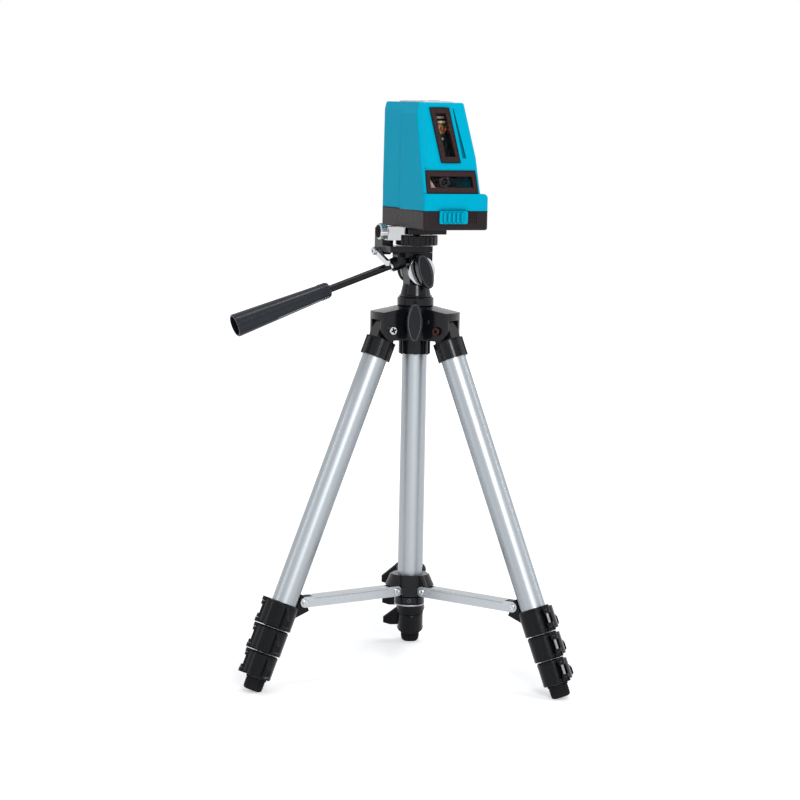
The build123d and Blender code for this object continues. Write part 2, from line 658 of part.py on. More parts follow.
def wing(width, length):
    """Oval knob wing in the xz plane: rounded front edge towards -y and a dished face inside a rim."""
    front = -WING_THICKNESS
    plate = extrude(oval(width, length, WING_TIP), amount=WING_THICKNESS, dir=(0, -1, 0))
    plate = fillet(plate.faces().sort_by(Axis.Y)[0].edges(), WING_RIM / 2)
    dish = oval(width - 2 * WING_RIM, length - 2 * WING_RIM, WING_TIP - WING_RIM)
    return plate - extrude(Pos(0, front - 1, 0) * dish, amount=WING_DISH + 1, dir=(0, 1, 0))


def column_lock_knob():
    """Oval wing knob whose screw bears on the centre column."""
    face = -CROWN_BARREL_RADIUS - 3.5
    screw = rod("y", BOLT_RADIUS, face, -COLUMN_RADIUS - 0.3, (0, KNOB_Z))
    boss = rod("y", 4.5, face - 2.6, face - FACE_GAP, (0, KNOB_Z))
    screw += rod("y", BOLT_RADIUS, face - 2.6, face, (0, KNOB_Z))
    return screw + boss + Pos(0, face - 2.5, KNOB_Z) * wing(KNOB_WIDTH, KNOB_LENGTH)


def centre_column():
    tube = ring("z", COLUMN_RADIUS, COLUMN_RADIUS - COLUMN_WALL, COLUMN_BOTTOM, CROWN_TOP)
    return tube


def head_collar():
    """Plastic collar on the column's top with the bearing bore of the pan axis."""
    top = CROWN_TOP + HEAD_COLLAR_HEIGHT
    collar = rod("z", HEAD_COLLAR_RADIUS, CROWN_TOP, top)
    collar = chamfer(collar.edges().filter_by(GeomType.CIRCLE), 0.7)
    collar += rod("z", COLUMN_RADIUS - COLUMN_WALL - SEAT_GAP, CROWN_TOP - 14, CROWN_TOP)
    return collar - rod("z", 5.0 + RUN_FIT, CROWN_TOP - 4, top + 1)


def column_bush():
    bore = CENTRE_TUBE_RADIUS - CENTRE_TUBE_WALL - SLIDE_GAP
    return ring("z", bore, COLUMN_RADIUS - COLUMN_WALL - 1, COLUMN_BOTTOM - 8, COLUMN_BOTTOM)


def pan_base():
    """Cone that turns on the collar, with the tilt drum on top."""
    foot_z = CROWN_TOP + HEAD_COLLAR_HEIGHT
    top = foot_z + PAN_CONE_HEIGHT
    body = Pos(0, 0, (foot_z + top) / 2) * Cone(*PAN_CONE_RADII, PAN_CONE_HEIGHT)
    body += rod("z", 5.0, CROWN_TOP - 3, foot_z)
    body += box((-8.5, 8.5), (-DRUM_HALF, DRUM_HALF), (top - 5, TILT_AXIS_Z))
    body += rod("y", DRUM_RADIUS, -DRUM_HALF, DRUM_HALF, (0, TILT_AXIS_Z))
    return body - rod("y", TILT_BOLT_RADIUS + RUN_FIT, -20, 20, (0, TILT_AXIS_Z))


def both_sides(shape):
    return shape + mirror(shape, Plane.XZ)


def handle_frame():
    """Frame of the pan handle: origin at the socket's mouth, x out along the rod."""
    slope = math.radians(HANDLE_SLOPE)
    out = Vector(-math.cos(slope), 0, -math.sin(slope))
    return Plane(origin=(-HANDLE_SOCKET_X, 0, HANDLE_SOCKET_Z), x_dir=out, z_dir=(-out.Z, 0, out.X)).location


def tilt_block():
    """Yoke on the drum, with the handle socket and the middle knuckle of the flip hinge."""
    under = TILT_AXIS_Z + RING_RADIUS + 0.4
    edge = FLIP_AXIS_Y - 3.4
    cheek = rod("y", RING_RADIUS + 0.2, CHEEK_FACE, BLOCK_HALF, (0, TILT_AXIS_Z))
    cheek += box((-9.6, 9.6), (CHEEK_FACE, BLOCK_HALF), (TILT_AXIS_Z, BRIDGE_TOP - 2))
    body = both_sides(cheek)
    body += box((-14.5, 9.6), (-BLOCK_HALF, edge), (under, BRIDGE_TOP))
    body += box((-HANDLE_SOCKET_X + 3, -11), (-5.5, 5.5), (HANDLE_SOCKET_Z + 1, BRIDGE_TOP))
    body += handle_frame() * rod("x", 5.6, -10.5, 0)
    knuckle_barrel = rod("x", 3.0, -8, 4, (FLIP_AXIS_Y, FLIP_AXIS_Z))
    knuckle_barrel += box((-8, 4), (edge - 1, FLIP_AXIS_Y), (FLIP_AXIS_Z - 3.0, BRIDGE_TOP))
    for start, end in ((-16.0, -8.1), (4.1, 11.0)):
        body -= rod("x", 3.35, start, end, (FLIP_AXIS_Y, FLIP_AXIS_Z))
    body += knuckle_barrel
    body -= rod("y", TILT_BOLT_RADIUS + RUN_FIT, -20, 20, (0, TILT_AXIS_Z))
    body -= rod("x", FLIP_PIN_RADIUS + SEAT_GAP, -9, 5, (FLIP_AXIS_Y, FLIP_AXIS_Z))
    return body - handle_frame() * rod("x", ROD_RADIUS + RUN_FIT, -8.5, 1)


def tilt_washers():
    at = (0, TILT_AXIS_Z)
    bore = TILT_BOLT_RADIUS + RUN_FIT
    inner = ring("y", RING_RADIUS, bore, RING_FACE, RING_FACE + RING_THICKNESS, at)
    outer = ring("y", WASHER_RADIUS, bore, BLOCK_HALF + FACE_GAP / 2, BLOCK_HALF + WASHER_THICKNESS, at)
    nut = ring("y", 5.5, bore, BLOCK_HALF + WASHER_THICKNESS, BLOCK_HALF + WASHER_THICKNESS + 4.4, at)
    rings = [inner, outer, mirror(inner, Plane.XZ), mirror(outer, Plane.XZ), nut]
    return rings


def tilt_lock_knob():
    """Bolt through the yoke with an oval wing in front."""
    face = -BLOCK_HALF - WASHER_THICKNESS - FACE_GAP
    at = (0, TILT_AXIS_Z)
    body = rod("y", TILT_BOLT_RADIUS, face - 2, BLOCK_HALF + WASHER_THICKNESS + 3.6, at)
    body += rod("y", 5.0, face - 2.4, face, at)
    turn = Rot(0, TILT_KNOB_TURN, 0)
    return body + Pos(0, face - 2.3, TILT_AXIS_Z) * turn * wing(TILT_KNOB_WIDTH, TILT_KNOB_LENGTH)


def handle_rod():
    return handle_frame() * rod("x", ROD_RADIUS, -8.2, ROD_VISIBLE + 20)


def handle_grip():
    """Tapered grip, open at its far end."""
    start, end = ROD_VISIBLE, ROD_VISIBLE + GRIP_LENGTH
    near, far = GRIP_RADII
    outline = [
        (start, ROD_RADIUS + RUN_FIT),
        (start, near - 0.8),
        (start + 0.8, near),
        (end - 0.8, far),
        (end, far - 0.6),
        (end, far - GRIP_WALL),
        (end - GRIP_HOLLOW, far - GRIP_WALL - 1.0),
        (end - GRIP_HOLLOW, 0.4),
        (start + 20.2, 0.4),
        (start + 20.2, ROD_RADIUS + RUN_FIT),
    ]
    face = make_face(Polyline(*[(x, 0, z) for x, z in outline], close=True))
    return handle_frame() * revolve(face, Axis.X)


def platform():
    """C-shaped bracket: lower arm with hinge knuckles, left web and the camera plate."""
    low = BRIDGE_TOP + 0.2
    arm_top = WHEEL_BOTTOM - 0.6
    top = PLATE_BOTTOM + PLATE_THICKNESS
    edge = FLIP_AXIS_Y - 3.4
    rim = -WHEEL_RADIUS - 1.0
    body = box((-28, 9.6), (-BLOCK_HALF, edge), (low, arm_top))
    body += box((PLATE_X[0], rim), (JAW_Y[1] + 0.8, PLATE_Y[1]), (low, top))
    body += box(PLATE_X, PLATE_Y, (PLATE_BOTTOM, top))
    for start, end in ((-28.0, rim), (-13.0, -8.3), (4.3, 9.6)):
        body += rod("x", 3.0, start, end, (FLIP_AXIS_Y, FLIP_AXIS_Z))
        body += box((start, end), (edge - 1, FLIP_AXIS_Y), (low, FLIP_AXIS_Z + 3.0))
    body -= box((-29, -11.6), (PLATE_Y[0] - 1, JAW_Y[1] + 0.3), (PLATE_BOTTOM - 1, top + 1))
    body -= rod("x", FLIP_PIN_RADIUS + RUN_FIT, -30, 11, (FLIP_AXIS_Y, FLIP_AXIS_Z))
    body -= rod("z", SCREW_RADIUS + PIN_FIT, PLATE_BOTTOM - 1, top + 1)
    return body - rod("x", 1.5 + PIN_FIT, -12, -6, JAW_AT)


def flip_pin():
    return rod("x", FLIP_PIN_RADIUS, -33.0, 9.6, (FLIP_AXIS_Y, FLIP_AXIS_Z))


def platform_pad():
    low = PLATE_BOTTOM + PLATE_THICKNESS
    pad = box((-11, PLATE_X[1] - 1), inset(PLATE_Y, 1.0), (low, low + PAD_THICKNESS))
    return pad - rod("z", SCREW_RADIUS + 0.4, low - 1, low + PAD_THICKNESS + 1)


def clamp_jaw():
    top = LASER_BOTTOM - 0.3
    jaw = box((-28, -11.9), JAW_Y, (WHEEL_BOTTOM + 4.2, top))
    jaw = chamfer(jaw.edges().filter_by(Axis.Z), 1.0)
    jaw -= rod("z", WHEEL_RADIUS + 0.6, WHEEL_BOTTOM, PLATE_BOTTOM - 0.4)
    return jaw - rod("x", 1.5 + PIN_FIT, -30, -10, JAW_AT)


def clamp_knob():
    body = rod("x", 6.5, -34.6, -28.1, JAW_AT)
    body = chamfer(body.edges().filter_by(GeomType.CIRCLE), 0.8)
    return body + rod("x", 1.5, -29, -7.5, JAW_AT)


def flip_lever():
    """Cam lever on the end of the flip pin, pointing forward and down."""
    at = (FLIP_AXIS_Y, FLIP_AXIS_Z)
    body = rod("x", 3.6, -33.2, -28.2, at)
    arm = Pos(-30.7, FLIP_AXIS_Y, FLIP_AXIS_Z) * Rot(18, 0, 0) * box((-1.5, 1.5), (-27, -2.5), (-2.2, 2.2))
    return body + arm - rod("x", FLIP_PIN_RADIUS + PIN_FIT, -34, -28, at)


def camera_screw():
    top = WHEEL_BOTTOM + WHEEL_HEIGHT
    wheel = rod("z", WHEEL_RADIUS, WHEEL_BOTTOM, top)
    wheel = chamfer(wheel.edges().filter_by(GeomType.CIRCLE), 0.7)
    for groove in spokes(WHEEL_GROOVES, WHEEL_RADIUS - 0.7, WHEEL_RADIUS + 1, 1.3, WHEEL_BOTTOM - 1, top + 1):
        wheel -= groove
    return wheel + rod("z", SCREW_RADIUS, top, LASER_BOTTOM + 7.5)


def slab(x, y, low, high, corner):
    """An upright block with rounded corners."""
    face = RectangleRounded(x[1] - x[0], y[1] - y[0], corner)
    return extrude(Pos((x[0] + x[1]) / 2, (y[0] + y[1]) / 2, low) * face, amount=high - low)


def inset(pair, by):
    return pair[0] + by, pair[1] - by


def laser_base():
    """Battery tray: floor with the door opening, insert boss, switch slot and finger grooves."""
    x, y = LASER_X, LASER_Y
    body = slab(x, y, LASER_BOTTOM, BASE_TOP, CORNER)
    body = chamfer(body.faces().sort_by(Axis.Z)[0].edges(), 1.2)
    body -= slab(inset(x, 2.4), inset(y, 2.4), LASER_BOTTOM + 2.0, BASE_TOP + 1, CORNER - 1.5)
    body += rod("z", 7.5, LASER_BOTTOM + 1, LASER_BOTTOM + 9.5)
    body -= rod("z", 5.05, LASER_BOTTOM - 1, LASER_BOTTOM + 10)
    body -= box(DOOR_X, (DOOR_HINGE_Y - 1.2, DOOR_END_Y), (LASER_BOTTOM - 1, LASER_BOTTOM + 3))
    body -= rod("x", 0.96, DOOR_X[0] - 1.4, DOOR_X[1] + 1.4, (DOOR_HINGE_Y, DOOR_HINGE_Z))
    body -= box((-4.0, 12.0), (y[0] - 1, y[0] + 4), (SWITCH_Z - 2.6, SWITCH_Z + 2.6))
    for i in range(4):
        left = 15.6 + 1.9 * i
        body -= box((left, left + 0.9), (y[0] - 1, y[0] + 0.5), (SWITCH_Z - 4.6, SWITCH_Z + 4.6))
    return body - side_step()


def threaded_insert():
    return ring("z", 5.0, SCREW_RADIUS + PIN_FIT, LASER_BOTTOM, LASER_BOTTOM + 9.0)


def battery_door():
    x = inset(DOOR_X, 0.2)
    body = box(x, (DOOR_HINGE_Y, DOOR_END_Y - 0.3), (LASER_BOTTOM, LASER_BOTTOM + DOOR_THICKNESS))
    body += rod("x", 1.0, x[0], x[1], (DOOR_HINGE_Y, DOOR_HINGE_Z))
    return body + rod("x", 0.9, DOOR_X[0] - 1.2, DOOR_X[1] + 1.2, (DOOR_HINGE_Y, DOOR_HINGE_Z))


def battery_cell(x):
    z = LASER_BOTTOM + 2.2 + CELL_RADIUS
    front = LASER_Y[0] + 5.2
    body = rod("y", CELL_RADIUS, front, front + CELL_LENGTH - 1.2, (x, z))
    return body + rod("y", 2.7, front + CELL_LENGTH - 1.2, front + CELL_LENGTH, (x, z))


def lock_slider():
    """Ribbed pendulum-lock slider: face outside, stem through the slot, keeper inside."""
    y = LASER_Y[0]
    z = SWITCH_Z
    body = box((-10.9, 13.5), (y - 2.0, y - 0.15), (z - 5.1, z + 5.1))
    body = chamfer(body.edges().filter_by(Axis.Y), 1.0)
    for i in range(5):
        left = -7.6 + 3.8 * i
        body += box((left, left + 1.9), (y - 2.7, y - 1.9), (z - 3.9, z + 3.9))
    body += box((-3.4, 3.4), (y - 0.5, y + 3.4), (z - 2.4, z + 2.4))
    return body + box((-7.0, 7.0), (y + 2.6, y + 4.2), (z - 4.0, z + 4.0))


def between(pair, share):
    return pair[0] + (pair[1] - pair[0]) * share


def tapered(inner):
    """The housing's upper body, drawn in by the wall thickness for its inside."""
    sections = []
    corner = max(BODY_CORNER - inner, 1.0)
    for share, right in zip(BODY_SHARES, BODY_RIGHT):
        x = (LASER_X[0] + inner * (1 + share), right - inner)
        y = (between(BODY_FRONT, share) + inner, between(BODY_REAR, share) - inner)
        z = between((BAND_TOP, LASER_TOP), share) - inner
        face = RectangleRounded(x[1] - x[0], y[1] - y[0], corner)
        sections.append(Pos((x[0] + x[1]) / 2, (y[0] + y[1]) / 2, z) * face)
    return loft(sections[:2], ruled=True) + loft(sections[1:], ruled=True)


def side_step():
    """The strip by which the rear of the left side lies deeper than its front."""
    left = LASER_X[0]
    return box((left - 1, left + SIDE_STEP), (SIDE_STEP_Y, LASER_Y[1] + 1), (LASER_BOTTOM - 1, LASER_TOP + 1))


def flange_bevel():
    """What the bevel along the band's top right edge takes away."""
    start = LASER_X[1] - FLANGE_BEVEL
    end = LASER_X[1] + 1
    outline = [(start, BAND_TOP), (end, BAND_TOP - FLANGE_BEVEL - 1), (end, BAND_TOP + 1), (start, BAND_TOP + 1)]
    return slab_xz(outline, LASER_Y[0] - 1, LASER_Y[1] + 1)


def shoulder():
    """What the steep bevel along the top of the left side takes away."""
    left = LASER_X[0]
    across, down = SHOULDER
    outline = [
        (left - across / 2, LASER_TOP - down * 1.5),
        (left + across * 1.5, LASER_TOP + down / 2),
        (left - across * 3, LASER_TOP + down / 2),
        (left - across * 3, LASER_TOP - down * 1.5),
    ]
    return slab_xz(outline, LASER_Y[0] - 1, LASER_Y[1] + 1)


def front_plane():
    """Plane of the sloping front: x as the body's, y up the slope, origin at the band's top."""
    rise = BODY_FRONT[1] - BODY_FRONT[0]
    length = math.hypot(rise, BODY_HEIGHT)
    normal = (0, -BODY_HEIGHT / length, rise / length)
    return Plane(origin=(0, BODY_FRONT[0], BAND_TOP), x_dir=(1, 0, 0), z_dir=normal)


def front_panel(edges, grow, low, high):
    """A four-sided block on the sloping front; low and high are depths along its normal."""
    bottom, top, start, end = edges
    points = [
        (bottom[0] - grow, start - grow),
        (bottom[1] + grow, start - grow),
        (top[1] + grow, end + grow),
        (top[0] - grow, end + grow),
    ]
    face = make_face(Polyline(*points, close=True))
    block = extrude(Pos(0, 0, low) * face, amount=high - low, dir=(0, 0, 1))
    return front_plane().location * block


def laser_housing():
    """Moulded shell: flared band below, tapered body with a sloping front, window pockets and flutes."""
    band = slab(LASER_X, LASER_Y, BASE_TOP, BAND_TOP, CORNER)
    band -= flange_bevel()
    body = tapered(0.0)
    body = fillet(body.faces().sort_by(Axis.Z)[-1].edges(), TOP_ROUND)
    shell = band + body - shoulder() - side_step()
    shell -= slab(inset(LASER_X, SHELL), inset(LASER_Y, SHELL), BASE_TOP - 1, BAND_TOP - SHELL, CORNER - 2)
    shell -= tapered(SHELL)
    for bezel, opening in ((BEZEL_WIDE, OPENING_WIDE), (BEZEL_TALL, OPENING_TALL)):
        depth = BEZEL_THICKNESS - BEZEL_PROUD
        shell -= front_panel(bezel, 0.12, -depth, 3.0)
        shell -= front_panel(opening, 1.2, -8.0, 3.0)
    shell -= front_panel(FRONT_GROOVE, 0.0, -GROOVE_DEPTH, 3.0)
    shell -= front_flute()
    shell -= slab(KEYPAD_X, KEYPAD_Y, LASER_TOP - 0.8, LASER_TOP + 1, 3.0)
    shell += swing_ears()
    return shell


def front_flute():
    """Shallow flute up the front's left edge, above the wide window."""
    length = BODY_HEIGHT + 8
    across = LASER_X[0] + 3.4
    groove = Pos(across, BEZEL_WIDE[3] + 1.6 + length / 2, FLUTE_RADIUS - FLUTE_DEPTH)
    return front_plane().location * groove * Rot(90, 0, 0) * Cylinder(FLUTE_RADIUS, length)


def swing_ears():
    """Two ears under the housing's top that carry the gimbal ring."""
    x, y, z = SWING_AXIS
    ears = box((x - 13.4, x - 11.2), (y - 3, y + 3), (z - 3.2, LASER_TOP - SHELL + 0.5))
    ears += box((x + 11.2, x + 13.4), (y - 3, y + 3), (z - 3.2, LASER_TOP - SHELL + 0.5))
    return ears - rod("x", 1.05, x - 14, x + 14, (y, z))


def gimbal_ring():
    x, y, z = SWING_AXIS
    body = box((x - 9.4, x + 9.4), (y - 8.2, y + 8.2), (z - 2, z + 2))
    body -= box((x - 7.0, x + 7.0), (y - 5.8, y + 5.8), (z - 3, z + 3))
    body += rod("x", 1.0, x - 13.2, x - 7.2, (y, z))
    body += rod("x", 1.0, x + 7.2, x + 13.2, (y, z))
    return body - rod("y", 1.05, y - 9, y + 9, (x, z))


def pendulum():
    """Swinging mass: axle in the ring, stem, zinc block and the front plate for the modules."""
    x, y, z = SWING_AXIS
    body = rod("y", 1.0, y - 11.5, y + 9.2, (x, z))
    body += box((x - 4, x + 4), (y - 3.6, y + 3.6), (z - 5, z + 3.6))
    body += box((x - 3, x + 3), (y - 3, y + 3), (z - 22, z - 4))
    body += box((x - 8, x + 8), (y - 9, y + 9), (z - 58, z - 21))
    return body + box((x - 4.6, x + 4.6), (y - 13.4, y - 10.6), (z - 50, z + 5)) + box(
        (x - 3, x + 3), (y - 11, y - 8), (z - 40, z - 30)
    )


def laser_module(below, reach):
    """Brass barrel with a lens recess, pointing out of the front."""
    x, y, z = SWING_AXIS
    front = y - reach
    body = rod("y", 4.4, front, y - 13.4, (x, z - below))
    return body - rod("y", 2.4, front - 1, front + 1.6, (x, z - below))


def window_bezel(bezel, opening):
    frame = front_panel(bezel, 0.0, -BEZEL_THICKNESS + BEZEL_PROUD, BEZEL_PROUD)
    frame += front_panel(opening, 1.0, -GLASS_DEPTH, BEZEL_PROUD - 0.4)
    return frame - front_panel(opening, 0.0, -5.0, 3.0)


def window_pane(opening):
    return front_panel(opening, 1.0, -GLASS_DEPTH - 1.0, -GLASS_DEPTH)


def keypad():
    body = slab(inset(KEYPAD_X, 0.15), inset(KEYPAD_Y, 0.15), LASER_TOP - 0.8, LASER_TOP + 1.0, 2.8)
    body = fillet(body.faces().sort_by(Axis.Z)[-1].edges(), 0.7)
    return body - rod("z", 4.2, LASER_TOP - 0.1, LASER_TOP + 2, BUTTON_AT)


def power_button():
    body = rod("z", 4.0, LASER_TOP + 0.6, LASER_TOP + 1.5, BUTTON_AT)
    body = fillet(body.edges().sort_by(Axis.Z)[-1], 0.4)
    return body + rod("z", 3.0, LASER_TOP + 0.55, LASER_TOP + 0.7, BUTTON_AT)


def make_body():
    save("crown", crown())
    save("leg_pivot_bolts", *around(pivot_bolt()))
    save("column_lock_knob", column_lock_knob())
    save("centre_tube", centre_tube())
    save("tube_end_stop", tube_end_stop())
    save("brace_hub", brace_hub())
    save("centre_column", centre_column(), head_collar(), column_bush())


def make_head():
    turn = Rot(0, 0, HEAD_TURN)
    pieces = {
        "pan_base": [pan_base()],
        "tilt_block": [tilt_block(), flip_pin()],
        "tilt_washers": tilt_washers(),
        "tilt_lock_knob": [tilt_lock_knob()],
        "handle_rod": [handle_rod()],
        "handle_grip": [handle_grip()],
        "platform": [platform()],
        "platform_pad": [platform_pad()],
        "clamp_jaw": [clamp_jaw()],
        "clamp_knob": [clamp_knob()],
        "flip_lever": [flip_lever()],
        "camera_screw": [camera_screw()],
    }
    for name, solids in pieces.items():
        save(name, *[turn * solid for solid in solids])


def make_laser():
    turn = Rot(0, 0, HEAD_TURN)
    middle = (LASER_X[0] + LASER_X[1]) / 2
    cells = [battery_cell(middle + CELL_PITCH * i) for i in (-1, 0, 1)]
    modules = [laser_module(below, reach) for below, reach in MODULES]
    windows = ((BEZEL_WIDE, OPENING_WIDE), (BEZEL_TALL, OPENING_TALL))
    pieces = {
        "laser_base": [laser_base(), threaded_insert()],
        "laser_housing": [laser_housing()],
        "lock_slider": [lock_slider()],
        "window_bezels": [window_bezel(*window) for window in windows],
        "window_glass": [window_pane(opening) for bezel, opening in windows],
        "gimbal_ring": [gimbal_ring()],
        "pendulum": [pendulum(), *modules],
        "battery_door": [battery_door()],
        "battery_cells": cells,
        "keypad": [keypad()],
        "power_button": [power_button()],
    }
    for name, solids in pieces.items():
        save(name, *[turn * solid for solid in solids])


os.makedirs("parts", exist_ok=True)
make_legs()
make_body()
make_head()
make_laser()
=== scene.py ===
import math

import bmesh
import bpy
from mathutils import Matrix, Vector
from mathutils.geometry import tessellate_polygon


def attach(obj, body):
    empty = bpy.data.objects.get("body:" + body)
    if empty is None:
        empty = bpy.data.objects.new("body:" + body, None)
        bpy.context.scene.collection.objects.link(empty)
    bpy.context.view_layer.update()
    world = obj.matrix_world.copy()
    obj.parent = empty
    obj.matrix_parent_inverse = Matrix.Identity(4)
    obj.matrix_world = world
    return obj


# Looks of the line laser on its tripod. Metres, +Z up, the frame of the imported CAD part.

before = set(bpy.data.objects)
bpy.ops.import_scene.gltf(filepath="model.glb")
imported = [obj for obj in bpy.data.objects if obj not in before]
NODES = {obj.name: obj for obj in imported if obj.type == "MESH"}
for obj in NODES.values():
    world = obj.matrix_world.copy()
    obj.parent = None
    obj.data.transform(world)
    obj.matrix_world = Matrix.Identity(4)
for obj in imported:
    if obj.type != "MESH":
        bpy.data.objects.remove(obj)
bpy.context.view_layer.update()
MM = 0.001

# ---- Sizes shared with the CAD source, in millimetres ----
AZIMUTHS = (210.0, 330.0, 90.0)
LEG_TILT = 21.9
LEG_LENGTH = 313.6
PIVOT_RADIUS = 28.0
PIVOT_Z = LEG_LENGTH * math.cos(math.radians(LEG_TILT))
TUBE_RADII = (10.25, 8.5, 7.0, 5.5)
LOCK_HEIGHTS = (21.4, 21.0, 20.0)
LOCK_TOPS = (237.5, 259.5, 281.1)
LOCK_RADII = (13.0, 12.2, 11.2)
LOCK_TURN = -21.0
LEVER_PLATE = 2.0
LEVER_GAP = 0.35
LEVER_WRAP = 98.0
LEVER_MARGIN = 1.5
TAB_FLARE = 18.0
BRACE_STATION = 231.4
BRACE_OFFSET = 15.7
HUB_PIVOT = (14.5, 73.2)
HEAD_TURN = 24.0
HANDLE_SLOPE = 19.4
HANDLE_SOCKET_X = 22.0
HANDLE_SOCKET_Z = 343.0
ROD_VISIBLE = 58.0
GRIP_LENGTH = 85.0
GRIP_RADII = (6.3, 9.5)
LASER_X = (-23.5, 32.5)
LASER_Y = (-68.0, 20.0)
LASER_BOTTOM = 375.2
BASE_TOP = LASER_BOTTOM + 15.0
BAND_TOP = BASE_TOP + 13.8
BODY_HEIGHT = 72.0
LASER_TOP = BAND_TOP + BODY_HEIGHT
BODY_FRONT = (-66.9, -48.0)
SIDE_STEP = 0.7
SIDE_STEP_Y = -18.0
SWING_AXIS = (1.0, -26.0, 461.0)
# Bezel outlines on the sloping front: (left, right) at the bottom, (left, right) at the top, start, end.
WINDOWS = {
    "wide": ((-20.8, 23.2), (-20.8, 22.2), 0.6, 18.6),
    "tall": ((-6.2, 10.0), (-12.6, 3.8), 25.5, 70.0),
}


# ---- Places ----
def leg_place(azimuth):
    """Matrix of a leg's own frame: origin at its pivot, x outward, z up along the leg."""
    turn, lean = math.radians(azimuth), math.radians(LEG_TILT)
    radial = Vector((math.cos(turn), math.sin(turn), 0))
    up = Vector((0, 0, 1))
    x = radial * math.cos(lean) + up * math.sin(lean)
    z = up * math.cos(lean) - radial * math.sin(lean)
    place = Matrix((x, z.cross(x), z)).transposed().to_4x4()
    place.translation = (radial * PIVOT_RADIUS + up * PIVOT_Z) * MM
    return place


HEAD = Matrix.Rotation(math.radians(HEAD_TURN), 4, "Z")


# ---- Materials ----
def srgb(red, green, blue):
    """Linear colour from 8-bit display values."""
    channels = [value / 255 for value in (red, green, blue)]
    return [c / 12.92 if c <= 0.04045 else ((c + 0.055) / 1.055) ** 2.4 for c in channels] + [1.0]


# A colour mix keeps its two colours and its colour result in these sockets.
MIX_FIRST, MIX_SECOND, MIX_RESULT = 6, 7, 2
# How far the bent normal and the open view change between a plain face and an edge or a groove.
EDGE_RANGE = (0.82, 0.995)
CREVICE_RANGE = (0.72, 0.985)


class Surface:
    """A procedural material, to which grain, tones, patchy gloss, worn edges, edges painted pale as a
    highlight and painted shade in grooves are added.
    """

    def __init__(self, name, colour, roughness, **sockets):
        self.material = bpy.data.materials.new(name)
        self.material.use_nodes = True
        self.tree = self.material.node_tree
        self.shader = self.tree.nodes["Principled BSDF"]
        self.colour = colour
        self.roughness = roughness
        self.shader.inputs["Base Color"].default_value = colour
        self.shader.inputs["Roughness"].default_value = roughness
        for socket, value in sockets.items():
            self.shader.inputs[socket.replace("_", " ")].default_value = value
        self.coordinates = self.node("ShaderNodeTexCoord").outputs["Object"]
        self.normal = None

    def node(self, kind, **settings):
        """A new shader node with its settings."""
        made = self.tree.nodes.new(kind)
        for setting, value in settings.items():
            setattr(made, setting, value)
        return made

    def link(self, source, target):
        """Joins an output to an input."""
        self.tree.links.new(source, target)

    def along(self, place, stretch):
        """Coordinates in the frame of place, squeezed along its z so that noise runs as lines."""
        mapping = self.node("ShaderNodeMapping", vector_type="POINT")
        turn = self.node("ShaderNodeMapping", vector_type="POINT")
        turn.inputs["Rotation"].default_value = place.inverted().to_euler()
        mapping.inputs["Scale"].default_value = (1.0, 1.0, 1.0 / stretch)
        self.link(self.coordinates, turn.inputs["Vector"])
        self.link(turn.outputs["Vector"], mapping.inputs["Vector"])
        return mapping.outputs["Vector"]

    def noise(self, size, detail=2.0, coordinates=None):
        """Noise whose features are about size millimetres across."""
        made = self.node("ShaderNodeTexNoise")
        made.inputs["Scale"].default_value = 1.0 / (size * MM)
        made.inputs["Detail"].default_value = detail
        self.link(coordinates or self.coordinates, made.inputs["Vector"])
        return made.outputs["Fac"]

    def remap(self, source, low, high, start=0.3, end=0.7):
        """Stretches start to end of a value over low to high."""
        made = self.node("ShaderNodeMapRange")
        self.link(source, made.inputs["Value"])
        for socket, value in zip(("From Min", "From Max", "To Min", "To Max"), (start, end, low, high)):
            made.inputs[socket].default_value = value
        return made.outputs["Result"]

    def math(self, operation, a, b):
        """Sum, product or the like of two numbers or outputs."""
        made = self.node("ShaderNodeMath", operation=operation)
        for socket, value in zip(made.inputs, (a, b)):
            if isinstance(value, (int, float)):
                socket.default_value = value
            else:
                self.link(value, socket)
        return made.outputs[0]

    def soften(self, radius):
        """Rounds sharp edges in the shading and returns a mask of where they are."""
        bevel = self.node("ShaderNodeBevel", samples=4)
        bevel.inputs["Radius"].default_value = radius * MM
        self.normal = bevel.outputs["Normal"]
        geometry = self.node("ShaderNodeNewGeometry")
        dot = self.node("ShaderNodeVectorMath", operation="DOT_PRODUCT")
        self.link(self.normal, dot.inputs[0])
        self.link(geometry.outputs["Normal"], dot.inputs[1])
        return self.remap(dot.outputs["Value"], 1.0, 0.0, *EDGE_RANGE)

    def painted_groove_shade(self, reach):
        """Mask of grooves and inner corners, where painted shade goes."""
        shade = self.node("ShaderNodeAmbientOcclusion", samples=12)
        shade.inputs["Distance"].default_value = reach * MM
        return self.remap(shade.outputs["AO"], 1.0, 0.0, *CREVICE_RANGE)

    def bump(self, height, distance):
        """Raises the surface by up to distance millimetres in its shading."""
        made = self.node("ShaderNodeBump")
        made.inputs["Distance"].default_value = distance * MM
        self.link(height, made.inputs["Height"])
        if self.normal:
            self.link(self.normal, made.inputs["Normal"])
        self.normal = made.outputs["Normal"]

    def tone(self, factor, other):
        """Blends the colour made up to here towards another by a factor."""
        made = self.node("ShaderNodeMix", data_type="RGBA")
        current = self.shader.inputs["Base Color"]
        if current.links:
            self.link(current.links[0].from_socket, made.inputs[MIX_FIRST])
        else:
            made.inputs[MIX_FIRST].default_value = self.colour
        made.inputs[MIX_SECOND].default_value = other
        self.link(factor, made.inputs[0])
        self.link(made.outputs[MIX_RESULT], current)

    def rough(self, source, spread):
        """Varies the roughness by spread each way."""
        gloss = self.remap(source, self.roughness - spread, self.roughness + spread)
        self.link(gloss, self.shader.inputs["Roughness"])

    def done(self):
        """The finished material."""
        if self.normal:
            self.link(self.normal, self.shader.inputs["Normal"])
        return self.material


def scaled(colour, factor):
    """A colour made lighter or darker."""
    return [min(channel * factor, 1.0) for channel in colour[:3]] + [1.0]


